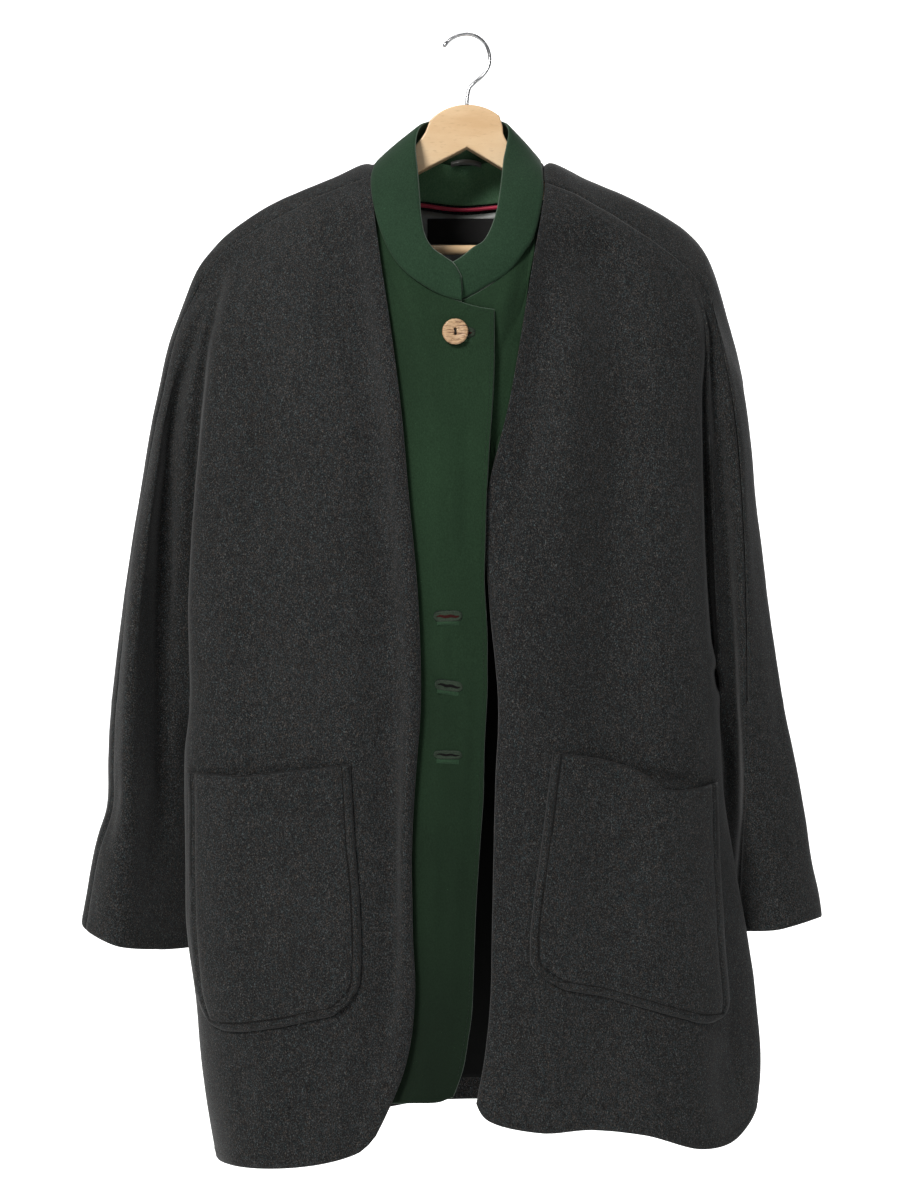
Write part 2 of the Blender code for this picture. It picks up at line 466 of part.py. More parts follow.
def back_panel(rings):
    top, top_way = cut(rings["cape"], CAPE, "rO", "lO")
    neck = np.array([n[0] not in "rl" or n[-1] in "12" for n in CAPE], float)
    body, body_way = cut(rings["body"], BODY, "rF", "lF")
    right, right_way = cut(rings["r_arm"], RIGHT_SLEEVE, "rO", "rI")
    left, left_way = cut(rings["l_arm"], LEFT_SLEEVE, "lI", "lO")
    us = rings["cape"][0]
    drop = SEAM + 0.0004 + 0.0008 * np.interp(us[us.index(CAPE.index("rO")) : us.index(CAPE.index("lO")) + 1], range(len(CAPE)), neck)
    top[0] = pull(top[0], top[1], drop[:, None])
    for grid, gap in ((top, SEAM + 0.0010), (body, SEAM), (right, SEAM), (left, SEAM)):
        grid[:, 0] = pull(grid[:, 0], grid[:, 1], gap)
        grid[:, -1] = pull(grid[:, -1], grid[:, -2], gap)
    panel = Panel()
    ids = panel.add(top, top_way)
    nr, nb, nl = right.shape[1], body.shape[1], left.shape[1]
    right_ids, body_ids, left_ids = (-np.ones(g.shape[:2], int) for g in (right, body, left))
    right_ids[0] = ids[-1, :nr]
    body_ids[0] = ids[-1, nr - 1 : nr - 1 + nb]
    left_ids[0] = ids[-1, nr + nb - 2 :]
    panel.add(right, right_way, right_ids)
    panel.add(body, body_way, body_ids)
    panel.add(left, left_way, left_ids)
    for under in (ids[-1, nr - 1], ids[-1, nr + nb - 2]):
        panel.way[int(under)] = np.array((0.0, 0.5, -0.866))
    return panel


# ---------------------------------------------------------------- things that lie on the panels
def spot(side, x, y, back=False):
    """The point of the front (or the back) that is drawn at x, y, and the way out there."""
    names = CAPE if y < UNDERARM else BODY
    if back:
        lo, hi, u = names.index("rM"), names.index("lM"), float(names.index("C"))
    elif side == "r":
        lo, hi, u = 0.0, names.index("rA") + 0.35, 3.0
    else:
        lo, hi, u = names.index("lA") - 0.35, len(names) - 1.0, len(names) - 4.0
    v = 0.5 if y < UNDERARM else 1.5
    vlo, vhi = (0.0, 1.0) if y < UNDERARM else (1.0, 2.0)
    e = 1e-3
    for _ in range(14):
        a = section(names, v, [u, u + e])
        b = section(names, min(v + e, 2.0), [u])[0]
        p, pu, pv = a[0], (a[1] - a[0]) / e, (b - a[0]) / e
        q = drawn(p)
        j = np.array([(drawn(p + pu * e) - q) / e, (drawn(p + pv * e) - q) / e]).T
        step = np.linalg.solve(j, np.array([x, y]) - q)
        u = float(np.clip(u + np.clip(step[0], -1.5, 1.5), lo, hi))
        v = float(np.clip(v + np.clip(step[1], -0.3, 0.3), vlo, vhi - e))
        if abs(step).max() < 1e-4:
            break
    n = np.cross(pu, pv)
    return p, n / np.linalg.norm(n)


def edge_of(side, y):
    """Drawing x and depth (mm) of a front's free edge at level y."""
    vs = np.linspace(0, 2, 120)
    a = np.array([FOLDS[side + "E"].at(v) for v in vs])
    return np.interp(y, a[:, 1], a[:, 0]), np.interp(y, a[:, 1], a[:, 2])


def cloth_lines(side, lines, foot_y, edge_table, rows):
    """Points of a green front: under the grey edge it lies UNDERLAY behind it, beyond the edge it has its own crown."""
    grid = []
    upper = side == "r"
    for w in rows:
        row = []
        for f, x_top, y_top in lines:
            bottom = foot_y(f)
            y = y_top + w * (bottom - y_top)
            ex, ed = edge_of(side, y)
            if upper:
                far = level(edge_table, y)
                x = ex + f * (far - ex) if f >= 0 else ex + f * 70
            else:
                near = level(edge_table, y)
                far = max(ex, near + 40) if y > 470 else ex
                x = near + f * (far - near) if f <= 1 else far + (f - 1) * 55
            blend = smooth((y - y_top) / 110.0)
            x = x_top + (x - x_top) * blend if y < 480 else x
            covered = x <= ex - 2 if upper else x >= ex + 2
            if covered:
                p, n = spot(side, x, max(y, 203.0))
                row.append(p - n * (UNDERLAY if upper else UNDERLAY + 0.0011))
                continue
            near_edge = ed + UNDERLAY / MM + (0.0 if upper else 1.1)
            if upper:
                g = level(GREEN_CROWN, y)
                d = near_edge + (g - near_edge) * smooth(abs(x - ex) / 26.0)
            else:
                g = level(GREEN_CROWN, y) + (3.0 if y < 300 else 3.0 + 5.0 * smooth((y - 300) / 60.0))
                d = near_edge + (g - near_edge) * smooth(abs(x - ex) / 26.0)
                if y > 330:
                    d = max(d, near_edge - 1.0)
            row.append(place((x, y, d)))
        grid.append(row)
    return np.array(grid)


def sheet(name, grid, wall, material, ways=None):
    panel = Panel()
    panel.add(grid, outward(grid) if ways is None else ways)
    return solid(name, panel, wall, material)


def pocket(name, side, plan, material, cols=9, rows=9):
    grid, ways = np.zeros((rows, cols, 3)), np.zeros((rows, cols, 3))
    for i, r in enumerate(np.linspace(0, 1, rows)):
        for j, c in enumerate(np.linspace(0, 1, cols)):
            xt = plan["left"][0][1] + c * (plan["right"][0][1] - plan["left"][0][1])
            xb = plan["left"][-1][1] + c * (plan["right"][-1][1] - plan["left"][-1][1])
            yt, yb = level(plan["top"], xt), level(plan["foot"], xb)
            y = yt + r * (yb - yt)
            x = level(plan["left"], y) * (1 - c) + level(plan["right"], y) * c
            p, n = spot(side, x, y)
            lift = STANDOFF + level(plan["gape"], c) * MM * (1 - r) ** 1.5 * 4 * min(c, 1 - c, 0.25)
            grid[i, j], ways[i, j] = p + n * (lift + WALL), n
    panel = Panel()
    panel.add(grid[:, ::-1], ways[:, ::-1])
    return solid(name, panel, WALL, material)


# ---------------------------------------------------------------- hard pieces
def material(name, colour, rough, metal=0.0):
    m = bpy.data.materials.new(name)
    m.use_nodes = True
    b = m.node_tree.nodes["Principled BSDF"]
    b.inputs["Base Color"].default_value = (*colour, 1)
    b.inputs["Roughness"].default_value = rough
    b.inputs["Metallic"].default_value = metal
    return m


def tube(name, points, radius, mat, sides=2, cyclic=False):
    curve = bpy.data.curves.new(name, "CURVE")
    curve.dimensions = "3D"
    curve.bevel_depth, curve.bevel_resolution, curve.use_fill_caps = radius, sides, True
    line = curve.splines.new("POLY")
    line.points.add(len(points) - 1)
    for k, p in enumerate(points):
        line.points[k].co = (*p, 1)
    obj = bpy.data.objects.new(name, curve)
    curve.materials.append(mat)
    PARTS.objects.link(obj)
    return obj


def plate(name, outline, thick, depth, mat):
    """A flat outline in the drawing, thickened front to back about a depth."""
    curve = bpy.data.curves.new(name, "CURVE")
    curve.dimensions, curve.fill_mode, curve.extrude = "2D", "BOTH", thick / 2
    line = curve.splines.new("POLY")
    pts = place([(x, y, depth) for x, y in outline])
    line.points.add(len(pts) - 1)
    for k, p in enumerate(pts):
        line.points[k].co = (p[0], p[2], 0, 1)
    line.use_cyclic_u = True
    obj = bpy.data.objects.new(name, curve)
    obj.rotation_euler = (math.pi / 2, 0, 0)
    obj.location = (0, depth * MM, 0)
    curve.materials.append(mat)
    PARTS.objects.link(obj)
    return obj


def hanger(wood, steel):
    arch = [(467 + 46 * math.sin(a), 106 + 46 * (1 - math.cos(a)) * 0.86) for a in np.linspace(-0.95, 0.78, 13)]
    right_top = [(424, 136), (413, 149), (400, 160), (385, 171.5), (370, 178.5), (347, 186), (324, 194), (300, 204), (278, 215), (262, 226.5), (249, 237.5)]
    left_top = [(502.5, 128), (503.5, 136), (509, 146), (520, 158), (534, 170), (549, 179.5), (567, 187), (590, 194), (612, 204), (635, 214), (655, 223), (667, 232)]
    under_left = [(671, 243), (670, 257), (650.5, 257), (650.5, 245), (600, 226), (560, 208), (520, 184), (502, 169.5)]
    under_right = [(417, 174.5), (392, 188), (340, 210), (300, 226), (266, 244), (266, 257), (245, 257), (244, 243)]
    outline = right_top[::-1] + [(x, y) for x, y in arch if 428 < x < 500.5] + left_top + under_left + [(467, 148.5)] + under_right
    plate("hanger_wood", outline, WOOD_THICK, 0.0, wood)
    a, b = place((266.5, 250, 0)), place((650.0, 250, 0))
    tube("hanger_bar", [a, a * 0.5 + b * 0.5, b], BAR_RADIUS, wood, 4)
    bend = [(467, 105.3), (467.6, 96), (469.5, 88.5), (475, 82.5), (482, 76.5), (487.5, 69), (489.8, 60.5), (488.8, 51.5), (484.5, 43), (477, 36.8), (467.5, 34.15), (458, 35.6), (449.5, 40.4), (443.5, 47)]
    t = np.arange(len(bend), dtype=float)
    path = place([(x, y, 0) for x, y in through(t, np.array(bend, float), np.linspace(0, len(bend) - 1, 27))])
    tube("hanger_hook", path, HOOK_RADIUS, steel, 2)


def button(mat, point, way):
    mesh = bmesh.new()
    bmesh.ops.create_cone(mesh, cap_ends=True, segments=28, radius1=BUTTON_RADIUS, radius2=BUTTON_RADIUS, depth=BUTTON_HEIGHT)
    edges = [e for e in mesh.edges if abs(e.verts[0].co.z - e.verts[1].co.z) < 1e-6]
    bmesh.ops.bevel(mesh, geom=edges, offset=0.0009, segments=1, affect="EDGES")
    obj = finish_mesh("button", mesh, mat)
    z = np.array(way) / np.linalg.norm(way)
    x = np.cross((0, 0, 1), z)
    x /= np.linalg.norm(x)
    y = np.cross(z, x)
    centre = point + z * (0.0006 + BUTTON_HEIGHT / 2)
    from mathutils import Matrix
    obj.matrix_world = Matrix([[x[0], y[0], z[0], centre[0]], [x[1], y[1], z[1], centre[1]], [x[2], y[2], z[2], centre[2]], [0, 0, 0, 1]])
    return obj


# ---------------------------------------------------------------- build
for old in list(bpy.data.objects):
    bpy.data.objects.remove(old, do_unlink=True)
PARTS = bpy.data.collections.new("trachten_jacket")
bpy.context.scene.collection.children.link(PARTS)

LODEN = material("grey_loden", (0.035, 0.036, 0.038), 0.95)
GREEN = material("green_cloth", (0.02, 0.05, 0.027), 0.9)
SATIN = material("dark_satin", (0.04, 0.045, 0.043), 0.4)
BLACK = material("label_black", (0.012, 0.011, 0.012), 0.55)
CRIMSON = material("crimson_piping", (0.25, 0.01, 0.03), 0.6)
HORN = material("staghorn", (0.45, 0.3, 0.17), 0.5)
WOOD = material("wood", (0.72, 0.5, 0.29), 0.5)
STEEL = material("steel", (0.6, 0.6, 0.6), 0.25, 1.0)

RINGS = make_rings()
solid("front_right", front_panel(RINGS, "r"), WALL, LODEN)
solid("front_left", front_panel(RINGS, "l"), WALL, LODEN)
solid("back", back_panel(RINGS), WALL, LODEN)

ROWS = (0, 0.04, 0.09, 0.15, 0.22, 0.3, 0.38, 0.48, 0.6, 0.72, 0.84, 0.94, 1.0)


def upper_foot(f):
    return 1103 if f < 0.8 else 1103 - 6 * (f - 0.8) / 0.2


upper = cloth_lines("r", PLACKET_LINES, upper_foot, PLACKET_EDGE, ROWS)
sheet("placket_right", upper[:, ::-1], GREEN_WALL, GREEN)
under = cloth_lines("l", UNDERLAP_LINES, lambda f: 1095, UNDERLAP_EDGE, ROWS)
sheet("placket_left", under[:, ::-1], GREEN_WALL, GREEN)

# stand collar: a smooth band between its foot and its top edge, bowed slightly outwards
table = np.array(COLLAR, float)
span = np.arange(len(table), dtype=float)
steps = span
foot, brim = place(through(span, table[:, :3], steps)), place(through(span, table[:, 3:], steps))
band = np.array([brim + (foot - brim) * f for f in (0.0, 0.33, 0.66, 1.0)])
ways = outward(band)
for k, f in enumerate((0.0, 0.33, 0.66, 1.0)):
    band[k] += ways[k] * 0.0016 * 4 * f * (1 - f)
sheet("collar", band, COLLAR_WALL, GREEN, ways)

# inside the back: facing, piping, lining, label and loop lie on its points, moved in
us, cape, cape_way = RINGS["cape"]
_, body, body_way = RINGS["body"]


def inside_back(x, y, depth_in):
    p, n = spot("r", x, y, back=True)
    return p - n * depth_in, -n


def inner_rows(shares, i, j, depth_in):
    """Rows of points between columns i and j of the upper section grid, on its straight runs, moved in."""
    points, outs = [], []
    for v in shares:
        k = min(max(sum(h <= v for h in HIGH) - 1, 0), len(HIGH) - 2)
        f = (v - HIGH[k]) / (HIGH[k + 1] - HIGH[k])
        n = cape_way[k, i : j + 1] * (1 - f) + cape_way[k + 1, i : j + 1] * f
        p = cape[k, i : j + 1] * (1 - f) + cape[k + 1, i : j + 1] * f
        points.append(p - n * depth_in)
        outs.append(n)
    return np.array(points), np.array(outs)


i0, i1 = us.index(CAPE.index("r1")) + 1, us.index(CAPE.index("l1")) - 1
grid, way = inner_rows((0.012, 0.045, 0.09, 0.14), i0, i1, WALL + 0.0012)
panel = Panel()
panel.add(grid, way)
solid("neck_facing", panel, SATIN_WALL, GREEN)
grid, way = inner_rows((0.148,), i0, i1, WALL + 0.0037)
tube("neck_piping", grid[0], 0.0017, CRIMSON, 2)

i0, i1 = us.index(CAPE.index("rM")), us.index(CAPE.index("lM"))
j0, j1 = RINGS["body"][0].index(BODY.index("rM")), RINGS["body"][0].index(BODY.index("lM"))
first = [k for k, v in enumerate(HIGH) if v > 0.157][0]
grid, way = inner_rows((0.157,) + HIGH[first:], i0, i1, WALL + 0.0006)
keep = [k for k, v in enumerate(LOW) if 1.0 < v < 1.95]
lower, lower_way = body[keep, j0 : j1 + 1], body_way[keep, j0 : j1 + 1]
panel = Panel()
panel.add(np.concatenate([grid, lower - lower_way * (WALL + 0.0006)]), np.concatenate([way, lower_way]))
solid("back_lining", panel, SATIN_WALL, SATIN)

grid, way = np.zeros((3, 5, 3)), np.zeros((3, 5, 3))
for j, x in enumerate(np.linspace(427, 497, 5)):
    for i, y in enumerate((219.5, 232, 244.5)):
        grid[i, j], way[i, j] = inside_back(x, y, WALL + 0.0005 + SATIN_WALL + 0.0012 + 0.0008)
panel = Panel()
panel.add(grid[:, ::-1], way[:, ::-1])
solid("label", panel, 0.0008, BLACK)

loop = []
for f in np.linspace(-1, 1, 9):
    p, n = inside_back(466.5 + 17 * f, 172.5 - 3.0 * (1 - f * f), WALL + 0.0067 + 0.003 * (1 - f * f))
    p = p + np.array((0, 0, 0.0072))
    loop.append((p, n))
grid = np.array([[p + np.array((0, 0, 0.0022)) for p, n in loop], [p - np.array((0, 0, 0.0022)) for p, n in loop]])
way = np.array([[n for p, n in loop]] * 2)
panel = Panel()
panel.add(grid[:, ::-1], way[:, ::-1])
solid("hanging_loop", panel, 0.0012, SATIN)

pocket("pocket_right", "r", POCKET_RIGHT, LODEN)
pocket("pocket_left", "l", POCKET_LEFT, LODEN)

# the button sits on the upper green front
rows_y = drawn(upper)
near = np.argmin(((rows_y - np.array((455, 332))) ** 2).sum(-1))
base = place((455.3, 332, level(GREEN_CROWN, 332) - 0.8))
button(HORN, base, (0.0, -1.0, 0.05))
hanger(WOOD, STEEL)
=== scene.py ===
"""Looks of the trachten jacket on its hanger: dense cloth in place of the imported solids, stitches, materials, light and camera."""
import math
import bpy
import bmesh
import numpy as np
from mathutils import Matrix, Vector, noise


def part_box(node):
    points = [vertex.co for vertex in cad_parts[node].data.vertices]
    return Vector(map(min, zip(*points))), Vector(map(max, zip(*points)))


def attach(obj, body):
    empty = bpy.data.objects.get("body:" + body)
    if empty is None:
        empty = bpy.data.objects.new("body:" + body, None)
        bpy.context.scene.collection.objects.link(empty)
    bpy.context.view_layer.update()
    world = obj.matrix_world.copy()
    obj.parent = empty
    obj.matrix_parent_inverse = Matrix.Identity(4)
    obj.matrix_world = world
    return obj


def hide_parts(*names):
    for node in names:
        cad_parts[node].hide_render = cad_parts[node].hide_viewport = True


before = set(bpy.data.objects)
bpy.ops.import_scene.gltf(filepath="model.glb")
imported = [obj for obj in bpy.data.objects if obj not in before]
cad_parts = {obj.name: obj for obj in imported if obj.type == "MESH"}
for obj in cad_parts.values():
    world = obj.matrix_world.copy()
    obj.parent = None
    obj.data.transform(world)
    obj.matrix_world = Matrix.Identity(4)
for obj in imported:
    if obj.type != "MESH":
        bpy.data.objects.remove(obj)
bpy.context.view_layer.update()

# ---------------------------------------------------------------- sizes
MM = 0.001
UNIT = 0.00092
REACH = 2.0
MID_X, MID_Y = 451.5, 600.0
HANG_X, HANG_Y = 467.0, 36.0
UNDERARM = 700.0
WALL = 0.0022
GREEN_WALL = 0.0018
COLLAR_WALL = 0.0026
SATIN_WALL = 0.0010
SEAM = 0.0004
STANDOFF = 0.0020
UNDERLAY = 5.5 * MM
BUTTON_RADIUS, BUTTON_HEIGHT = 0.0115, 0.0042
WOOD_THICK, BAR_RADIUS, HOOK_RADIUS = 0.014, 0.0045, 0.0017

# ---------------------------------------------------------------- tables
BODY_LEVELS = (250, 315, 400, 500, 600, 700, 780, 860, 930, 1000, 1070)
ARM_LEVELS = (315, 400, 500, 600, 700, 760, 810, 850, 900)
BACK_LEVELS = (315, 400, 500, 600, 700, 860, 1000)

# name: top x on the shoulder seam, roll mm, x at each level, depth at each level, foot (x, y, depth)
RIGHT_BODY = {
    "E": (370, 12, (378, 388, 399.5, 409, 418, 421, 415.5, 412, 413, 415, 404.5), (-66, -73, -78, -80, -82, -83, -84, -85, -87, -89, -89), (376, 1137, -87)),
    "K": (360, 12, (368, 378, 390, 399, 408, 411, 406, 403, 404, 405, 392), (-61, -71, -78, -82, -85, -87, -88, -89, -91, -93, -92), (364, 1149, -89)),
    "Q": (348, 12, (354, 361, 371, 381, 389, 393, 394, 394, 393, 390, 376), (-49, -56, -63, -67, -70, -73, -75, -77, -80, -83, -86), (349, 1157, -87)),
    "P": (328, 11, (334, 334, 343, 349, 354, 357, 359, 361, 362, 360, 349), (-44, -58, -67, -73, -77, -80, -83, -85, -88, -90, -92), (322, 1164, -90)),
    "G": (302, 10, (303, 299, 306, 311, 315, 318, 319, 318, 317, 313, 304), (-39, -53, -62, -69, -74, -77, -80, -82, -85, -87, -89), (288, 1168, -88)),
    "B": (275, 8, (274, 263, 262, 262, 262, 264, 265, 265, 264, 262, 258), (-31, -44, -53, -59, -62, -65, -70, -73, -76, -79, -81), (255, 1168, -82)),
    "R": (252, 6, (248, 238, 230, 224, 220, 221, 221, 221, 222, 225, 229), (-24, -40, -50, -57, -60, -61, -62, -63, -64, -65, -66), (232, 1165, -66)),
    "A": (236, 4, (232, 218, 206, 196, 189, 190.5, 187, 187.5, 188.5, 197, 203), (-18, -31, -40, -43, -42, -38, -36, -33, -31, -30, -28), (216, 1157, -26)),
}
RIGHT_SIDE = ((780, 191, 8), (860, 190, 3), (930, 191.5, 1), (1000, 200, 0), (1070, 206, 0), (1147, 221, 0))
RIGHT_ARM = {
    "V": (229, 3, (212, 201, 195, 194), (-25, -21, -7, 7), None),
    "L": (222, 2, (208, 191, 184, 180, 180, 182, 185, 187, 189), (-25, -26, -12, 4, 17, 26, 31, 34, 37), (190, 947, 38)),
    "D": (216, 2, (201, 177, 164, 162, 162, 162, 162, 161, 159), (-20, -10, 1, 9, 14, 16, 16, 14, 10), (157, 949, 8)),
    "S": (210, 1, (192, 169, 152, 140, 131, 128, 126, 122, 117), (-18, -20, -22, -22, -22, -22, -22, -22, -23), (115, 945, -23)),
    "O": (205, 0, (183.5, 160.5, 142.5, 128, 116, 113, 110.5, 98.5, 89.5), (-10, -8, -6, -5, -4, -4, -3, -2, 0), (85, 929, 0)),
}
RIGHT_INSEAM = ((760, 192, 38), (810, 197, 43), (850, 200, 46), (900, 201, 48), (945, 202, 48))
RIGHT_UNDERARM = (196, 702, 20)

LEFT_BODY = {
    "E": (546, 12, (536.5, 525.5, 511, 487.7, 489, 498, 495.5, 493.5, 492, 490, 482.5), (-67, -74, -76, -74, -74, -78, -80, -82, -84, -86, -87), (476, 1104, -87)),
    "K": (557, 12, (547, 545, 534, 516, 503, 508, 506, 504, 503, 501, 494), (-58, -64, -69, -74, -80, -83, -84, -86, -88, -91, -92), (486, 1119, -92)),
    "Q": (576, 12, (563, 572, 571, 563, 556, 556, 556, 555, 553, 550, 545), (-50, -66, -74, -79, -82, -84, -86, -88, -90, -93, -94), (540, 1133, -94)),
    "P": (606, 11, (604, 613, 621, 617, 616, 615, 614, 612, 608, 602, 596), (-37, -47, -55, -60, -64, -67, -71, -75, -78, -81, -83), (592, 1130, -84)),
    "B": (640, 8, (638, 650, 657, 660, 662, 664, 662, 658, 655, 652, 648), (-32, -46, -57, -63, -67, -69, -71, -73, -75, -77, -79), (645, 1135, -80)),
    "R": (664, 6, (662, 680, 685, 687, 690, 693, 697, 699, 701, 703, 704), (-28, -39, -47, -53, -56, -57, -57, -57, -58, -59, -60), (703, 1149, -60)),
    "A": (682, 4, (680, 697, 700, 702, 706, 713, 717, 720.5, 724, 729.5, 730), (-24, -32, -37, -39, -39, -37, -35, -34, -32, -30, -29), (738, 1138, -28)),
}
LEFT_SIDE = ((780, 721, 7), (860, 734, 5), (930, 747, 5), (1000, 757, 5), (1070, 761, 5), (1105, 757, 5))
LEFT_ARM = {
    "V": (690, 3, (703, 703, 705, 709), (-24, -19, -9, -1), None),
    "L": (697, 2, (706, 708, 712, 716, 720, 723, 720.5, 721, 724), (-24, -25, -22, -17, -8, 20, 38, 50, 62), (726, 929, 66)),
    "D": (703, 2, (710, 714, 722, 730, 735, 738, 738, 735, 732), (-18, -12, -8, -4, 0, 5, 16, 30, 44), (731, 931, 49)),
    "S": (708, 1, (714.5, 725, 733, 738, 741, 743, 741.5, 738, 734), (-18, -20, -21, -20, -18, -12, 3, 18, 32), (733, 932, 38)),
    "O": (712, 0, (719, 733.5, 743, 746.5, 747.5, 746.5, 744, 741, 738.5), (-16, -21, -24, -24, -22, -17, -6, 8, 22), (737.5, 931, 26)),
    "T": (709, 0, (722, 739, 750, 757, 763, 766, 769, 771, 776), (-8, -11, -13, -13, -13, -11, -9, -7, -6), (779, 929, -6)),
}
LEFT_INSEAM = ((760, 722, 44), (810, 727, 62), (850, 732, 71), (900, 739, 80), (926, 744, 84))
LEFT_UNDERARM = (720, 702, 5)

# the shoulder seams, from the neck to the shoulder's tip: x, y, depth
RIGHT_SEAM = ((370, 176, -30), (347, 184, -25), (318, 196, -20), (285, 213, -16), (255, 229, -12), (236, 241, -10), (222, 253, -9), (212, 264, -8), (205, 276, -7))
LEFT_SEAM = ((546, 182, -32), (575, 193, -30), (612, 213, -28), (652, 239, -26), (675, 256, -24), (690, 270, -21), (700, 282, -18), (707, 293, -16), (712, 300, -15))

# folds of the back: top x on the seam (or a neck point), the roll over the shoulder as (share, x, y, depth), then x and depth at the levels, foot
RIGHT_BACK = {
    "W": (208, ((0.03, 201, 266, 0),), ARM_LEVELS, (179, 156.5, 138.5, 123.5, 111.5, 109, 107, 94.5, 85.5), (5, 8, 10, 12, 13, 13, 13, 13, 13), (81.5, 922, 13)),
    "X": (222, ((0.035, 215, 247, 4), (0.09, 204, 268, 22)), ARM_LEVELS, (190, 170, 155, 143, 133, 130, 127, 122, 118), (29, 38, 45, 50, 53, 55, 57, 59, 61), (118, 934, 62)),
    "Y": (236, ((0.04, 230, 231, 4), (0.1, 219, 258, 28)), (315, 400, 500, 600), (206, 198, 193, 193), (35, 42, 43, 35), None),
    "Z": (275, ((0.045, 272, 203, 1), (0.11, 262, 233, 28)), BACK_LEVELS, (250, 243, 237, 232, 232, 230, 240), (40, 46, 49, 50, 49, 46, 49), (256, 1131, 50)),
    "M": (335, ((0.05, 335, 176, 0), (0.12, 336, 208, 31)), BACK_LEVELS, (340, 342, 340, 335, 332, 334, 338), (48, 55, 59, 61, 62, 66, 70), (345, 1113, 71)),
    "N": (370, ((0.04, 366, 163, -3), (0.11, 369, 182, 29)), BACK_LEVELS, (380, 386, 388, 388, 388, 388, 392), (53, 53, 54, 55, 56, 60, 63), (395, 1105, 65)),
}
LEFT_BACK = {
    "W": (706, ((0.03, 714, 277, -3),), ARM_LEVELS, (724.5, 744, 756, 769.5, 784, 795, 803, 809, 820), (5, 7, 9, 11, 13, 15, 17, 19, 22), (822, 916, 24)),
    "X": (697, ((0.035, 705, 254, 2), (0.09, 710, 273, 21)), ARM_LEVELS, (713, 724, 738, 748, 760, 768, 776, 783, 794), (30, 42, 50, 57, 62, 65, 68, 70, 73), (797, 921, 74)),
    "Y": (681, ((0.04, 688, 232, 2), (0.1, 694, 258, 26)), (315, 400, 500, 600), (703, 706, 711, 716), (36, 40, 39, 28), None),
    "Z": (640, ((0.05, 643, 203, -1), (0.11, 648, 233, 27)), BACK_LEVELS, (660, 668, 675, 682, 688, 700, 712), (42, 47, 49, 50, 49, 47, 48), (712, 1108, 50)),
    "M": (585, ((0.05, 586, 178, -2), (0.12, 587, 208, 31)), BACK_LEVELS, (592, 596, 600, 603, 606, 612, 616), (50, 58, 62, 64, 65, 68, 71), (612, 1103, 72)),
    "N": (546, ((0.05, 550, 162, -3), (0.12, 547, 184, 29)), BACK_LEVELS, (545, 548, 548, 548, 548, 550, 550), (52, 52, 53, 54, 55, 59, 62), (548, 1099, 64)),
}
# the back at the neck edge: neck point, roll, x and depth at the levels, foot
NECK_BACK = {
    "r1": ((376, 161, 2), ((0.045, 378, 167, 14), (0.115, 385, 188, 40)), (404, 408, 410, 410, 410, 410, 412), (57, 59, 60, 61, 62, 66, 70), (415, 1101, 72)),
    "r2": ((398, 156, 29), ((0.045, 400, 164, 35), (0.115, 404, 186, 48)), (424, 428, 430, 430, 430, 432, 434), (60, 63, 64, 65, 66, 70, 74), (436, 1099, 76)),
    "C": ((460, 165, 56), ((0.045, 460, 172, 57.5), (0.115, 461, 192, 59.5)), (463, 464, 465, 466, 466, 467, 468), (63, 64, 65, 66, 67, 70, 73), (468, 1098, 74)),
    "l2": ((524, 158, 29), ((0.045, 521, 166, 35), (0.115, 517, 188, 48)), (503, 502, 501, 501, 501, 502, 503), (60, 63, 64, 65, 66, 70, 73), (503, 1098, 75)),
    "l1": ((543, 163, 2), ((0.045, 540, 169, 14), (0.115, 534, 190, 40)), (522, 523, 523, 524, 524, 526, 527), (57, 58, 59, 60, 61, 64, 68), (527, 1098, 70)),
}

# the stand collar from its lapping right end round the neck: foot x, y, depth, top x, y, depth
COLLAR = (
    (461, 300, -76, 452.5, 262, -76), (446, 295.5, -76, 441, 254.5, -75), (430, 288, -76, 431, 246.5, -73.5), (406, 271, -73.4, 424, 234, -70),
    (390.5, 251, -68.6, 420.5, 216, -64), (379, 223, -60, 419, 197, -56), (374.5, 190, -46, 417, 171, -43), (375.5, 168.5, -24, 414.5, 147, -27),
    (381, 157.5, 3, 417, 130, -8), (400.5, 152.8, 26.5, 423.5, 122.5, 8), (428, 156.5, 44.5, 440, 120.5, 27), (460, 161.5, 53, 463, 121, 38),
    (494, 158.5, 45.5, 486, 120.5, 27), (519.5, 154.5, 26.5, 503, 121, 10), (539.5, 159.5, 3, 510, 131, -9), (542.5, 170.5, -24, 504.5, 160, -28),
    (542.5, 195, -45, 502, 181, -43), (533, 231, -60, 497, 212, -56), (521, 251, -66, 486.5, 237.5, -64), (505, 270, -69, 473.5, 247.5, -68),
    (486, 285, -71, 461, 257.5, -70.5), (467, 296, -71.5, 447, 266, -71), (452, 301, -71.5, 438, 272, -71),
)

# the green fronts: right edge of the upper one and its bottom, by level
PLACKET_EDGE = ((310, 494), (360, 494), (406, 492), (447, 489), (500, 486), (580, 484), (636, 487), (692, 487), (748, 484), (800, 483), (840, 480), (900, 476), (950, 474), (1011, 472), (1052, 466), (1089, 459), (1105, 447))
GREEN_CROWN = ((180, -46), (215, -57), (245, -66), (300, -75), (400, -77.5), (500, -79), (600, -80), (700, -81), (850, -83), (1000, -87), (1105, -88))
UNDERLAP_EDGE = ((300, 470), (400, 471), (450, 478), (500, 489), (560, 498), (640, 508), (800, 512), (1000, 510), (1095, 500))
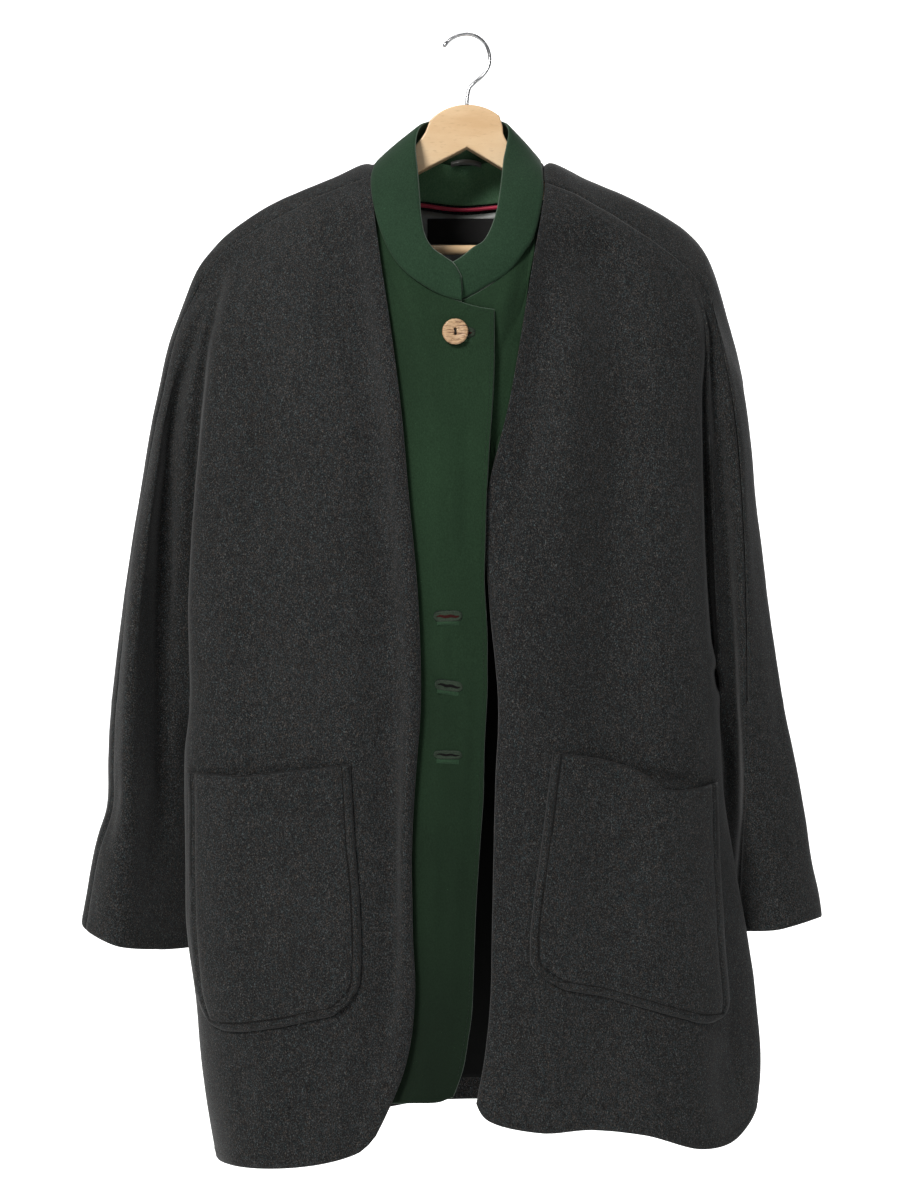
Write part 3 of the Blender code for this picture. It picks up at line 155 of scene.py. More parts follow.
# share of the width, then the top point x, y of each line of the cloth
PLACKET_LINES = ((-0.25, 366, 216), (0.0, 375, 210), (0.14, 380.5, 225), (0.32, 392, 254), (0.5, 407.5, 273), (0.68, 431, 290), (0.84, 461, 302), (0.93, 478, 307), (1.0, 494, 309.5))
UNDERLAP_LINES = ((0.0, 462, 300.5), (0.12, 470, 297), (0.3, 487, 287), (0.5, 506.5, 272), (0.7, 522.5, 253), (0.85, 535, 232.5), (1.0, 541.5, 212), (1.25, 549, 216))

POCKET_RIGHT = dict(left=((772, 190.5), (860, 190.5), (930, 191.5), (985, 197), (1031, 209)), right=((765, 350), (839, 354), (898, 359), (957, 361), (990, 358), (1012, 350)), top=((184, 772), (243, 777), (299, 771), (350, 765)), foot=((205, 1029), (245, 1031), (279, 1027), (340, 1014), (352, 1008)), gape=((0.0, 2.0), (0.5, 5.5), (1.0, 1.0)))
POCKET_LEFT = dict(left=((753, 553), (819, 545), (888, 536), (938, 530), (967, 532), (986, 543)), right=((783, 715), (860, 718), (938, 722), (985, 726), (1024, 729)), top=((553, 753), (589, 758), (625, 766), (645, 773), (652, 784), (664, 790), (680, 791), (700, 787), (717, 782)), foot=((541, 986), (575, 991), (605, 996), (660, 1012), (698, 1022), (728, 1024)), gape=((0.0, 1.0), (0.35, 5.0), (0.65, 9.0), (1.0, 2.0)))

# ---------------------------------------------------------------- curves
def place(p):
    """Drawing x, y and depth in mm, to metres in the part's frame."""
    p = np.asarray(p, float)
    k = UNIT * (REACH + p[..., 2] * MM) / REACH
    x = (MID_X - HANG_X) * UNIT + (p[..., 0] - MID_X) * k
    z = (HANG_Y - MID_Y) * UNIT - (p[..., 1] - MID_Y) * k
    return np.stack([x, p[..., 2] * MM, z], -1)


def drawn(q):
    """The reverse of place, without the depth: metres to drawing x and y."""
    k = UNIT * (REACH + q[..., 1]) / REACH
    return np.stack([MID_X + (q[..., 0] - (MID_X - HANG_X) * UNIT) / k, MID_Y - (q[..., 2] - (HANG_Y - MID_Y) * UNIT) / k], -1)


def slopes(t, p):
    h = np.diff(t)[:, None]
    s = np.diff(p, axis=0) / h
    m = np.empty_like(p)
    if len(p) == 2:
        m[:] = s[0]
        return m
    m[1:-1] = (s[:-1] * h[1:] + s[1:] * h[:-1]) / (h[1:] + h[:-1])
    m[0] = 1.5 * s[0] - 0.5 * m[1]
    m[-1] = 1.5 * s[-1] - 0.5 * m[-2]
    return m


def through(t, p, q, m=None):
    """Points at q of the smooth curve that passes p at t."""
    t, p, q = np.asarray(t, float), np.asarray(p, float), np.atleast_1d(np.asarray(q, float))
    if p.ndim == 1:
        return through(t, p[:, None], q)[:, 0]
    m = slopes(t, p) if m is None else m
    k = np.clip(np.searchsorted(t, q, side="right") - 1, 0, len(t) - 2)
    h = (t[k + 1] - t[k])[:, None]
    f = ((q - t[k]) / (t[k + 1] - t[k]))[:, None]
    return p[k] * (1 + 2 * f) * (1 - f) ** 2 + m[k] * h * f * (1 - f) ** 2 + p[k + 1] * f * f * (3 - 2 * f) - m[k + 1] * h * f * f * (1 - f)


def level(table, y):
    a = np.array(table, float)
    return np.interp(y, a[:, 0], a[:, 1])


def smooth(f):
    f = np.clip(f, 0.0, 1.0)
    return f * f * (3 - 2 * f)


class Fold:
    """One fold's line: share 0 is its top, 1 the underarm's level, 2 the hem or cuff."""

    def __init__(self, knots):
        a = np.array(sorted(knots), float)
        self.t, self.p = a[:, 0], a[:, 1:]
        self.m = slopes(self.t, self.p)

    def at(self, v):
        return through(self.t, self.p, v, self.m)[0]


def share(y, top, foot):
    return (y - top) / (UNDERARM - top) if y <= UNDERARM else 1 + (y - UNDERARM) / (foot - UNDERARM)


def seam_point(seam, x):
    a = np.array(seam, float)
    if a[0, 0] > a[-1, 0]:
        a = a[::-1]
    return np.array([x, np.interp(x, a[:, 0], a[:, 1]), np.interp(x, a[:, 0], a[:, 2])])


def front_fold(seam, levels, row, under):
    x_top, roll, xs, ds, foot = row
    top = seam_point(seam, x_top)
    foot_y = foot[1] if foot else None
    knots = [(0.0, *top)]
    near = [(y, x, d) for y, x, d in zip(levels, xs, ds) if y > top[1] + 32]
    first = near[0]
    if roll:
        f = 15.0 / (first[0] - top[1])
        knots.append((share(top[1] + 15, top[1], 900), top[0] + (first[1] - top[0]) * f * 0.6, top[1] + 15, top[2] - roll))
    for y, x, d in near:
        knots.append((share(y, top[1], foot_y), x, y, d))
    if foot:
        knots.append((2.0, foot[0], foot[1], foot[2]))
    else:
        knots.append((1.0, *under))
    return Fold(knots)


def back_fold(top, roll, levels, xs, ds, foot, under):
    knots = [(0.0, *top)] + [tuple(r) for r in roll]
    start = roll[-1][0] + 0.025
    for y, x, d in zip(levels, xs, ds):
        v = share(y, top[1], foot[1] if foot else None)
        if v > start:
            knots.append((v, x, y, d))
    knots.append((2.0, *foot) if foot else (1.0, *under))
    return Fold(knots)


def seam_fold(under, rows):
    foot = rows[-1][0]
    return Fold([(1.0, *under)] + [(share(y, 0, foot), x, y, d) for y, x, d in rows])


def make_folds():
    folds = {}
    for side, seam, body, arm, back, flank, inseam, under in (
        ("r", RIGHT_SEAM, RIGHT_BODY, RIGHT_ARM, RIGHT_BACK, RIGHT_SIDE, RIGHT_INSEAM, RIGHT_UNDERARM),
        ("l", LEFT_SEAM, LEFT_BODY, LEFT_ARM, LEFT_BACK, LEFT_SIDE, LEFT_INSEAM, LEFT_UNDERARM),
    ):
        ahead = (under[0], under[1], under[2] - 2.6)
        behind = (under[0], under[1], under[2] + 2.6)
        for name, row in body.items():
            folds[side + name] = front_fold(seam, BODY_LEVELS, row, None)
        for name, row in arm.items():
            folds[side + name] = front_fold(seam, ARM_LEVELS, row, ahead)
        for name, (x, roll, levels, xs, ds, foot) in back.items():
            folds[side + name] = back_fold(seam_point(seam, x), roll, levels, xs, ds, foot, behind)
        folds[side + "F"] = seam_fold(under, flank)
        folds[side + "I"] = seam_fold(under, inseam)
    for name, (top, roll, xs, ds, foot) in NECK_BACK.items():
        folds[name] = back_fold(top, roll, BACK_LEVELS, xs, ds, foot, None)
    return folds


FOLDS = make_folds()
CAPE = ["rE", "rK", "rQ", "rP", "rG", "rB", "rR", "rA", "rV", "rL", "rD", "rS", "rO", "rW", "rX", "rY", "rZ", "rM", "rN", "r1", "r2", "C",
        "l2", "l1", "lN", "lM", "lZ", "lY", "lX", "lW", "lT", "lO", "lS", "lD", "lL", "lV", "lA", "lR", "lB", "lP", "lQ", "lK", "lE"]
BODY = ["rE", "rK", "rQ", "rP", "rG", "rB", "rR", "rA", "rF", "rZ", "rM", "rN", "r1", "r2", "C", "l2", "l1", "lN", "lM", "lZ", "lF", "lA", "lR", "lB", "lP", "lQ", "lK", "lE"]
RIGHT_SLEEVE = ["rI", "rL", "rD", "rS", "rO", "rW", "rX", "rI"]
LEFT_SLEEVE = ["lI", "lX", "lW", "lT", "lO", "lS", "lD", "lL", "lI"]


def section(names, v, u, closed=False):
    """Points at u (fold number and share towards the next) of the section at share v, in metres."""
    ctrl = place([FOLDS[n].at(v) for n in names])
    extra = 0
    if closed:
        ctrl = np.concatenate([ctrl[-3:-1], ctrl, ctrl[1:3]])
        extra = 2
    step = np.linalg.norm(np.diff(ctrl, axis=0), axis=1)
    t = np.concatenate([[0.0], np.cumsum(np.maximum(step, 1e-5) ** 0.6)])
    u = np.asarray(u, float) + extra
    k = np.clip(np.floor(u).astype(int), 0, len(ctrl) - 2)
    return through(t, ctrl, t[k] + (u - k) * (t[k + 1] - t[k]))


def surface(names, vs, us, closed=False):
    return np.array([section(names, v, us, closed) for v in vs])


def outward(grid, closed=False):
    """Unit normals of a grid of points, rows down and columns clockwise from above."""
    du = np.gradient(grid, axis=1)
    if closed:
        du[:, 0] = du[:, -1] = grid[:, 1] - grid[:, -2]
    dv = np.gradient(grid, axis=0)
    n = np.cross(du, dv)
    return n / np.maximum(np.linalg.norm(n, axis=2, keepdims=True), 1e-12)


COUNTS = {"rEK": 1, "rKQ": 1, "rQP": 2, "rPG": 1, "rGB": 2, "rBR": 2, "rRA": 2, "rAV": 2, "rVL": 1, "rLD": 1, "rDS": 2, "rSO": 2, "rOW": 1, "rWX": 2, "rXY": 2, "rYZ": 2, "rZM": 2, "rMN": 1, "rN1": 2, "r12": 2, "r2C": 2,
          "lEK": 1, "lKQ": 2, "lQP": 2, "lPB": 2, "lBR": 2, "lRA": 2, "lAV": 2, "lVL": 1, "lLD": 1, "lDS": 1, "lSO": 1, "lOT": 1, "lTW": 2, "lWX": 2, "lXY": 2, "lYZ": 2, "lZM": 2, "lMN": 1, "lN1": 2, "l12": 2, "l2C": 2}


def count_of(a, b):
    side = a[0] if a[0] in "rl" else b[0]
    x, y = a[-1], b[-1]
    if "F" in (x, y):
        pair = "AV" if "A" in (x, y) else "YZ"
    elif "I" in (x, y):
        pair = "VL" if "L" in (x, y) else "XY"
    else:
        pair = x + y if side + x + y in COUNTS else y + x
    return COUNTS[side + pair]


def columns(names, a, b):
    """Section positions from fold a to fold b."""
    i, j = names.index(a), len(names) - 1 - names[::-1].index(b)
    out = []
    for k in range(i, j):
        n = count_of(names[k], names[k + 1])
        out += [k + m / n for m in range(n)]
    return out + [j]


HIGH = (0.0, 0.03, 0.06, 0.1, 0.15, 0.22, 0.31, 0.42, 0.54, 0.66, 0.78, 0.89, 1.0)
LOW = (1.0, 1.1, 1.2, 1.32, 1.44, 1.56, 1.68, 1.8, 1.91, 2.0)


class Panel:
    """A wall of cloth: outer points, the way out at each, and the quads between them."""

    def __init__(self):
        self.out, self.way, self.quads = [], [], []

    def add(self, points, ways, ids=None):
        rows, cols = points.shape[:2]
        ids = -np.ones((rows, cols), int) if ids is None else ids.copy()
        for i in range(rows):
            for j in range(cols):
                if ids[i, j] < 0:
                    ids[i, j] = len(self.out)
                    self.out.append(points[i, j])
                    self.way.append(ways[i, j])
        for i in range(rows - 1):
            for j in range(cols - 1):
                self.quads.append((ids[i, j], ids[i, j + 1], ids[i + 1, j + 1], ids[i + 1, j]))
        return ids



def pull(points, way_to, amount):
    """Draws a boundary row or column of points towards its neighbour, for the seam's gap."""
    d = way_to - points
    return points + d / np.maximum(np.linalg.norm(d, axis=-1, keepdims=True), 1e-9) * amount


def seam_ways(ways, points, side_sign):
    """The shoulder seam's own way out: up and forward, turning outwards at the tip, square to the seam."""
    run = np.gradient(points, axis=0)
    run /= np.linalg.norm(run, axis=1, keepdims=True)
    f = np.abs(points[:, 0:1]) / 0.235
    aim = np.concatenate([side_sign * 0.9 * f ** 3, np.full_like(f, -0.55), 0.85 - 0.35 * f ** 3], 1)
    aim -= run * (aim * run).sum(1, keepdims=True)
    return aim / np.linalg.norm(aim, axis=1, keepdims=True)


def on_seam(seam, names, a, b, us):
    """The shoulder seam's points for these columns, on the straight runs between the seam's points."""
    xs = [FOLDS[n].at(0.0)[0] for n in names]
    return place([seam_point(seam, np.interp(u, range(len(names)), xs)) for u in us])


def cut(ring, names, a, b):
    us, grid, ways = ring
    i, j = us.index(names.index(a)), us.index(len(names) - 1 - names[::-1].index(b))
    return grid[:, i : j + 1].copy(), ways[:, i : j + 1].copy()


def front_panel(rings, side):
    """One front with the front half of its sleeve, slit below the underarm into body and sleeve."""
    lead = side == "r"
    a, b = (side + "E", side + "O") if lead else (side + "O", side + "E")
    top, top_way = cut(rings["cape"], CAPE, a, b)
    if lead:
        body, body_way = cut(rings["body"], BODY, "rE", "rF")
        arm, arm_way = cut(rings["r_arm"], RIGHT_SLEEVE, "rI", "rO")
    else:
        body, body_way = cut(rings["body"], BODY, "lF", "lE")
        arm, arm_way = cut(rings["l_arm"], LEFT_SLEEVE, "lO", "lI")
    top[0] = pull(top[0], top[1], SEAM)
    o, o2 = (-1, -2) if lead else (0, 1)
    top[:, o] = pull(top[:, o], top[:, o2], SEAM + 0.0010)
    arm[:, o] = pull(arm[:, o], arm[:, o2], SEAM)
    f, f2 = (-1, -2) if lead else (0, 1)
    body[:, f] = pull(body[:, f], body[:, f2], SEAM)
    s, s2 = (0, 1) if lead else (-1, -2)
    arm[:, s] = pull(arm[:, s], arm[:, s2], SEAM)
    panel = Panel()
    ids = panel.add(top, top_way)
    nb, na = body.shape[1], arm.shape[1]
    body_ids, arm_ids = -np.ones(body.shape[:2], int), -np.ones(arm.shape[:2], int)
    if lead:
        body_ids[0], arm_ids[0] = ids[-1, :nb], ids[-1, nb - 1 :]
    else:
        arm_ids[0], body_ids[0] = ids[-1, :na], ids[-1, na - 1 :]
    under = int(ids[-1, nb - 1]) if lead else int(ids[-1, na - 1])
    panel.add(body, body_way, body_ids)
    panel.add(arm, arm_way, arm_ids)
    panel.way[under] = np.array((0.0, -0.5, -0.866))
    return panel


def back_panel(rings):
    top, top_way = cut(rings["cape"], CAPE, "rO", "lO")
    neck = np.array([n[0] not in "rl" or n[-1] in "12" for n in CAPE], float)
    body, body_way = cut(rings["body"], BODY, "rF", "lF")
    right, right_way = cut(rings["r_arm"], RIGHT_SLEEVE, "rO", "rI")
    left, left_way = cut(rings["l_arm"], LEFT_SLEEVE, "lI", "lO")
    us = rings["cape"][0]
    drop = SEAM + 0.0004 + 0.0008 * np.interp(us[us.index(CAPE.index("rO")) : us.index(CAPE.index("lO")) + 1], range(len(CAPE)), neck)
    top[0] = pull(top[0], top[1], drop[:, None])
    for grid, gap in ((top, SEAM + 0.0010), (body, SEAM), (right, SEAM), (left, SEAM)):
        grid[:, 0] = pull(grid[:, 0], grid[:, 1], gap)
        grid[:, -1] = pull(grid[:, -1], grid[:, -2], gap)
    panel = Panel()
    ids = panel.add(top, top_way)
    nr, nb, nl = right.shape[1], body.shape[1], left.shape[1]
    right_ids, body_ids, left_ids = (-np.ones(g.shape[:2], int) for g in (right, body, left))
    right_ids[0] = ids[-1, :nr]
    body_ids[0] = ids[-1, nr - 1 : nr - 1 + nb]
    left_ids[0] = ids[-1, nr + nb - 2 :]
    panel.add(right, right_way, right_ids)
    panel.add(body, body_way, body_ids)
    panel.add(left, left_way, left_ids)
    for under in (ids[-1, nr - 1], ids[-1, nr + nb - 2]):
        panel.way[int(under)] = np.array((0.0, 0.5, -0.866))
    return panel


# ---------------------------------------------------------------- things that lie on the panels
def spot(side, x, y, back=False):
    """The point of the front (or the back) that is drawn at x, y, and the way out there."""
    names = CAPE if y < UNDERARM else BODY
    if back:
        lo, hi, u = names.index("rM"), names.index("lM"), float(names.index("C"))
    elif side == "r":
        lo, hi, u = 0.0, names.index("rA") + 0.35, 3.0
    else:
        lo, hi, u = names.index("lA") - 0.35, len(names) - 1.0, len(names) - 4.0
    v = 0.5 if y < UNDERARM else 1.5
    vlo, vhi = (0.0, 1.0) if y < UNDERARM else (1.0, 2.0)
    e = 1e-3
    for _ in range(14):
        a = section(names, v, [u, u + e])
        b = section(names, min(v + e, 2.0), [u])[0]
        p, pu, pv = a[0], (a[1] - a[0]) / e, (b - a[0]) / e
        q = drawn(p)
        j = np.array([(drawn(p + pu * e) - q) / e, (drawn(p + pv * e) - q) / e]).T
        step = np.linalg.solve(j, np.array([x, y]) - q)
        u = float(np.clip(u + np.clip(step[0], -1.5, 1.5), lo, hi))
        v = float(np.clip(v + np.clip(step[1], -0.3, 0.3), vlo, vhi - e))
        if abs(step).max() < 1e-4:
            break
    n = np.cross(pu, pv)
    return p, n / np.linalg.norm(n)


def edge_of(side, y):
    """Drawing x and depth (mm) of a front's free edge at level y."""
    vs = np.linspace(0, 2, 120)
    a = np.array([FOLDS[side + "E"].at(v) for v in vs])
    return np.interp(y, a[:, 1], a[:, 0]), np.interp(y, a[:, 1], a[:, 2])


def cloth_lines(side, lines, foot_y, edge_table, rows):
    """Points of a green front: under the grey edge it lies UNDERLAY behind it, beyond the edge it has its own crown."""
    grid = []
    upper = side == "r"
    for w in rows:
        row = []
        for f, x_top, y_top in lines:
            bottom = foot_y(f)
            y = y_top + w * (bottom - y_top)
            ex, ed = edge_of(side, y)
            if upper:
                far = level(edge_table, y)
                x = ex + f * (far - ex) if f >= 0 else ex + f * 70
            else:
                near = level(edge_table, y)
                far = max(ex, near + 40) if y > 470 else ex
                x = near + f * (far - near) if f <= 1 else far + (f - 1) * 55
            blend = smooth((y - y_top) / 110.0)
            x = x_top + (x - x_top) * blend if y < 480 else x
            covered = x <= ex - 2 if upper else x >= ex + 2
            if covered:
                p, n = spot(side, x, max(y, 203.0))
                row.append(p - n * (UNDERLAY if upper else UNDERLAY + 0.0011))
                continue
            near_edge = ed + UNDERLAY / MM + (0.0 if upper else 1.1)
            if upper:
                g = level(GREEN_CROWN, y)
                d = near_edge + (g - near_edge) * smooth(abs(x - ex) / 26.0)
            else:
                g = level(GREEN_CROWN, y) + (3.0 if y < 300 else 3.0 + 5.0 * smooth((y - 300) / 60.0))
                d = near_edge + (g - near_edge) * smooth(abs(x - ex) / 26.0)
                if y > 330:
                    d = max(d, near_edge - 1.0)
            row.append(place((x, y, d)))
        grid.append(row)
    return np.array(grid)

# ---------------------------------------------------------------- finer sampling of the same surfaces
SEAM = 0.00012
GRAIN = 0.0042


def graded(length, near=(0.0, 0.0012, 0.0026, 0.004, 0.0054, 0.0064, 0.0073, 0.0082, 0.0092, 0.0112, 0.014), step=GRAIN, both=True):
    """Distances from an edge, close together where the turned edge and its stitches are, as shares of the length."""
    ends = [d for d in near if d < length * 0.45]
    last = ends[-1]
    far = length - last if both else length
    n = max(2, int(round((far - last) / step)))
    out = ends + [last + (far - last) * k / n for k in range(1, n + (0 if both else 1))]
    if both:
        out += [length - d for d in ends[::-1]]
    return np.array(out) / length


HIGH = tuple(np.unique(np.concatenate([[0, 0.003, 0.007, 0.012, 0.018, 0.025], np.linspace(0.033, 1.0, 96)])))
LOW = tuple(2.0 - graded(0.411, both=False)[::-1] * 1.0)
LOW_ARM = tuple(2.0 - graded(0.225, both=False)[::-1] * 1.0)
LOW = (1.0,) + tuple(v for v in LOW if v > 1.0005)
LOW_ARM = (1.0,) + tuple(v for v in LOW_ARM if v > 1.0005)


def set_counts():
    """How many columns each stretch between two folds takes, for cloth squares of about GRAIN."""
    for names, v, closed in ((CAPE, 0.75, False), (CAPE, 0.45, False), (BODY, 1.5, False), (RIGHT_SLEEVE, 1.6, True), (LEFT_SLEEVE, 1.6, True)):
        us = np.arange(0, len(names) - 1 + 1e-6, 0.125)
        p = section(names, v, us, closed)
        run = np.linalg.norm(np.diff(p, axis=0), axis=1)
        for k in range(len(names) - 1):
            span = run[k * 8 : k * 8 + 8].sum()
            a, b = names[k], names[k + 1]
            side = a[0] if a[0] in "rl" else b[0]
            x, y = a[-1], b[-1]
            if "F" in (x, y):
                key = side + ("AV" if "A" in (x, y) else "YZ")
            elif "I" in (x, y):
                key = side + ("VL" if "L" in (x, y) else "XY")
            else:
                key = side + (x + y if side + x + y in COUNTS else y + x)
            COUNTS[key] = max(COUNTS.get(key, 1) if COUNTS.get(key, 1) > 3 else 2, int(math.ceil(span / GRAIN)))


set_counts()

# ---------------------------------------------------------------- creases, listed one by one
# side, half width and height in mm (a trough is negative), then the line's points x, y in the drawing
CREASES = (
    ("r", 4, -1.3, ((392, 545), (389.5, 566), (387, 590))),
    ("r", 14, 2.0, ((262, 440), (258, 520), (266, 600), (270, 665))),
    ("r", 10, -1.3, ((292, 380), (286, 470), (290, 560), (300, 640))),
    ("r", 7, 1.3, ((377, 985), (378, 1060), (374, 1130))),
    ("r", 5, -1.1, ((389, 975), (389, 1050), (385, 1100))),
    ("r", 9, -1.6, ((346, 212), (340, 262), (333, 330))),
    ("r", 8, 1.2, ((318, 232), (309, 300), (306, 360))),
    ("r", 7, -1.8, ((226, 262), (214, 300), (208, 352))),
    ("r", 5, 1.4, ((236, 262), (226, 305), (222, 350))),
    ("r", 8, 2.6, ((173, 705), (176, 735), (172, 772))),
    ("r", 6, -1.8, ((186, 330), (170, 400), (161, 470))),
    ("r", 9, -5.0, ((176, 440), (166, 540), (163, 650), (163, 780), (160, 900))),
    ("r", 8, 3.0, ((150, 400), (138, 520), (130, 660), (127, 800), (120, 900))),
    ("r", 7, -1.6, ((150, 545), (142, 620), (139, 700))),
    ("r", 6, -1.8, ((122, 760), (113, 812), (103, 868))),
    ("r", 7, 1.6, ((138, 780), (133, 840), (128, 905))),
    ("r", 6, -1.4, ((152, 800), (149, 860), (146, 925))),
    ("r", 16, -1.5, ((330, 1040), (318, 1095), (312, 1150))),
    ("r", 16, 1.6, ((272, 1045), (268, 1095), (270, 1150))),
    ("r", 12, -1.4, ((240, 1040), (243, 1090), (247, 1140))),
    ("r", 11, 1.1, ((330, 470), (326, 560), (331, 660), (334, 735))),
    ("r", 8, -0.8, ((236, 700), (246, 722), (262, 736))),
    ("L", 5, -5.5, ((632, 764), (652, 776), (676, 780), (704, 778))),
    ("l", 4, -2.2, ((736, 560), (744, 660), (750, 760), (758, 850))),
    ("l", 6, -2.6, ((708, 400), (712, 500), (716, 600), (718, 690))),
    ("l", 7, -2.2, ((660, 254), (668, 288), (676, 330))),
    ("l", 6, 1.4, ((648, 262), (655, 300), (664, 342))),
    ("l", 5, -2.0, ((543, 372), (531, 440), (514, 520), (503, 585), (499, 640))),
    ("l", 5, 1.2, ((552, 395), (543, 450), (528, 525), (517, 590))),
    ("l", 12, -1.4, ((622, 400), (615, 500), (612, 600), (606, 690))),
    ("l", 13, 1.4, ((585, 330), (573, 430), (566, 540), (566, 650))),
    ("l", 9, -1.2, ((640, 300), (644, 380), (648, 470))),
    ("l", 6, 2.6, ((711, 640), (719, 672), (722, 700), (716, 716))),
    ("l", 4, -3.4, ((714, 662), (718, 684), (717, 695))),
    ("l", 7, -1.5, ((700, 700), (690, 730), (684, 760))),
    ("l", 8, 1.6, ((566, 845), (569, 900), (572, 955))),
    ("l", 6, -1.2, ((583, 850), (586, 905), (585, 950))),
    ("l", 6, -2.0, ((760, 560), (766, 640), (771, 720), (770, 800))),
    ("l", 7, 1.7, ((752, 520), (757, 610), (760, 700))),
    ("l", 6, -1.7, ((782, 760), (789, 820), (797, 885))),
    ("l", 6, 1.4, ((770, 800), (777, 850), (783, 905))),
    ("l", 14, 1.6, ((640, 1040), (636, 1085), (640, 1130))),
    ("l", 13, -1.5, ((672, 1045), (677, 1095), (682, 1140))),
    ("l", 12, -1.3, ((600, 1035), (594, 1080), (588, 1125))),
    ("l", 6, 1.2, ((735, 1020), (742, 1060), (747, 1100))),
    ("l", 7, -1.2, ((716, 1050), (722, 1090), (726, 1130))),
)
BACK_CREASES = (
    ("b", 10, -2.2, ((404, 250), (396, 420), (400, 640), (396, 900), (400, 1090))),
    ("b", 12, 1.8, ((440, 330), (436, 560), (441, 800), (439, 1060))),
    ("b", 9, -1.8, ((489, 420), (492, 640), (488, 860), (492, 1080))),
    ("b", 12, 1.6, ((540, 280), (552, 460), (548, 700), (553, 1000))),
    ("b", 8, -1.7, ((590, 560), (594, 740), (588, 960))),
    ("b", 10, 1.8, ((640, 330), (652, 520), (650, 760))),
    ("b", 8, -1.5, ((330, 500), (334, 700), (328, 930))),
    ("b", 11, 1.7, ((282, 300), (272, 470), (276, 660), (270, 830))),
    ("b", 7, -1.8, ((240, 280), (226, 360), (214, 450))),
    ("b", 7, -1.8, ((690, 285), (704, 360), (716, 450))),
    ("b", 6, 1.6, ((216, 300), (196, 400), (182, 500))),
    ("b", 6, 1.6, ((722, 300), (742, 400), (756, 520))),
    ("b", 7, -1.7, ((150, 560), (140, 680), (134, 800))),
    ("b", 7, -1.7, ((760, 540), (776, 680), (788, 820))),
    ("b", 6, 1.4, ((112, 700), (104, 790), (98, 880))),
    ("b", 6, 1.4, ((800, 700), (806, 790), (812, 880))),
    ("b", 13, -1.2, ((300, 1000), (310, 1050), (306, 1110))),
    ("b", 13, 1.3, ((610, 990), (604, 1040), (608, 1095))),
)


def relief(x, y, side):
    """Height in metres of the listed creases at drawing points x, y."""
    x, y = np.asarray(x, float), np.asarray(y, float)
    h = np.zeros(x.shape)
    for s, width, high, line in (BACK_CREASES if side in "bB" else CREASES):
        if s != side:
            continue
        a = np.array(line, float)
        seg = np.diff(a, axis=0)
        length = np.linalg.norm(seg, axis=1)
        start = np.concatenate([[0], np.cumsum(length)])
        w = width
        box = (x > a[:, 0].min() - 4 * w) & (x < a[:, 0].max() + 4 * w) & (y > a[:, 1].min() - 4 * w) & (y < a[:, 1].max() + 4 * w)
        if not box.any():
            continue
        px, py = x[box], y[box]
        best, where = np.full(px.shape, 1e9), np.zeros(px.shape)
        for k in range(len(seg)):
            t = np.clip(((px - a[k, 0]) * seg[k, 0] + (py - a[k, 1]) * seg[k, 1]) / length[k] ** 2, 0, 1)
            d = np.hypot(px - a[k, 0] - t * seg[k, 0], py - a[k, 1] - t * seg[k, 1])
            nearer = d < best
            best[nearer], where[nearer] = d[nearer], (start[k] + t * length[k])[nearer]
        f = where / start[-1]
        taper = smooth(f / 0.35) * smooth((1 - f) / 0.35)
        h[box] += high * MM * taper * np.exp(-((best / w) ** 2))
    return h


def undulate(points, seed, tall=0.00055, small=0.00022):
    """Slight hand of the cloth: low waves, worked out from place so that neighbours match."""
    out = np.zeros(len(points))
    for k, p in enumerate(points):
        v = Vector((p[0] * 24 + seed, p[1] * 24, p[2] * 13))
        w = Vector((p[0] * 75 + seed, p[1] * 75, p[2] * 48))
        out[k] = noise.noise(v) * tall + noise.noise(w) * small
    return out


def relax(grid, times, closed=False):
    """Evens out a grid a little, leaving its border where it is."""
    g = grid.copy()
    for _ in range(times):
        m = g.copy()
        m[1:-1, 1:-1] = 0.5 * g[1:-1, 1:-1] + 0.125 * (g[:-2, 1:-1] + g[2:, 1:-1] + g[1:-1, :-2] + g[1:-1, 2:])
        g = m
    return g


def dress(grid, ways, side_of):
    """Adds the creases and the hand of the cloth along the way out."""
    q = drawn(grid)
    h = np.zeros(grid.shape[:2])
    for side in "rlb":
        mask = side_of == side
        if mask.any():
            h[mask] += relief(q[..., 0][mask], q[..., 1][mask], side) + relief(q[..., 0][mask], q[..., 1][mask], side.upper())
    h += undulate(grid.reshape(-1, 3), 3.1).reshape(h.shape)
    return grid + ways * h[..., None]


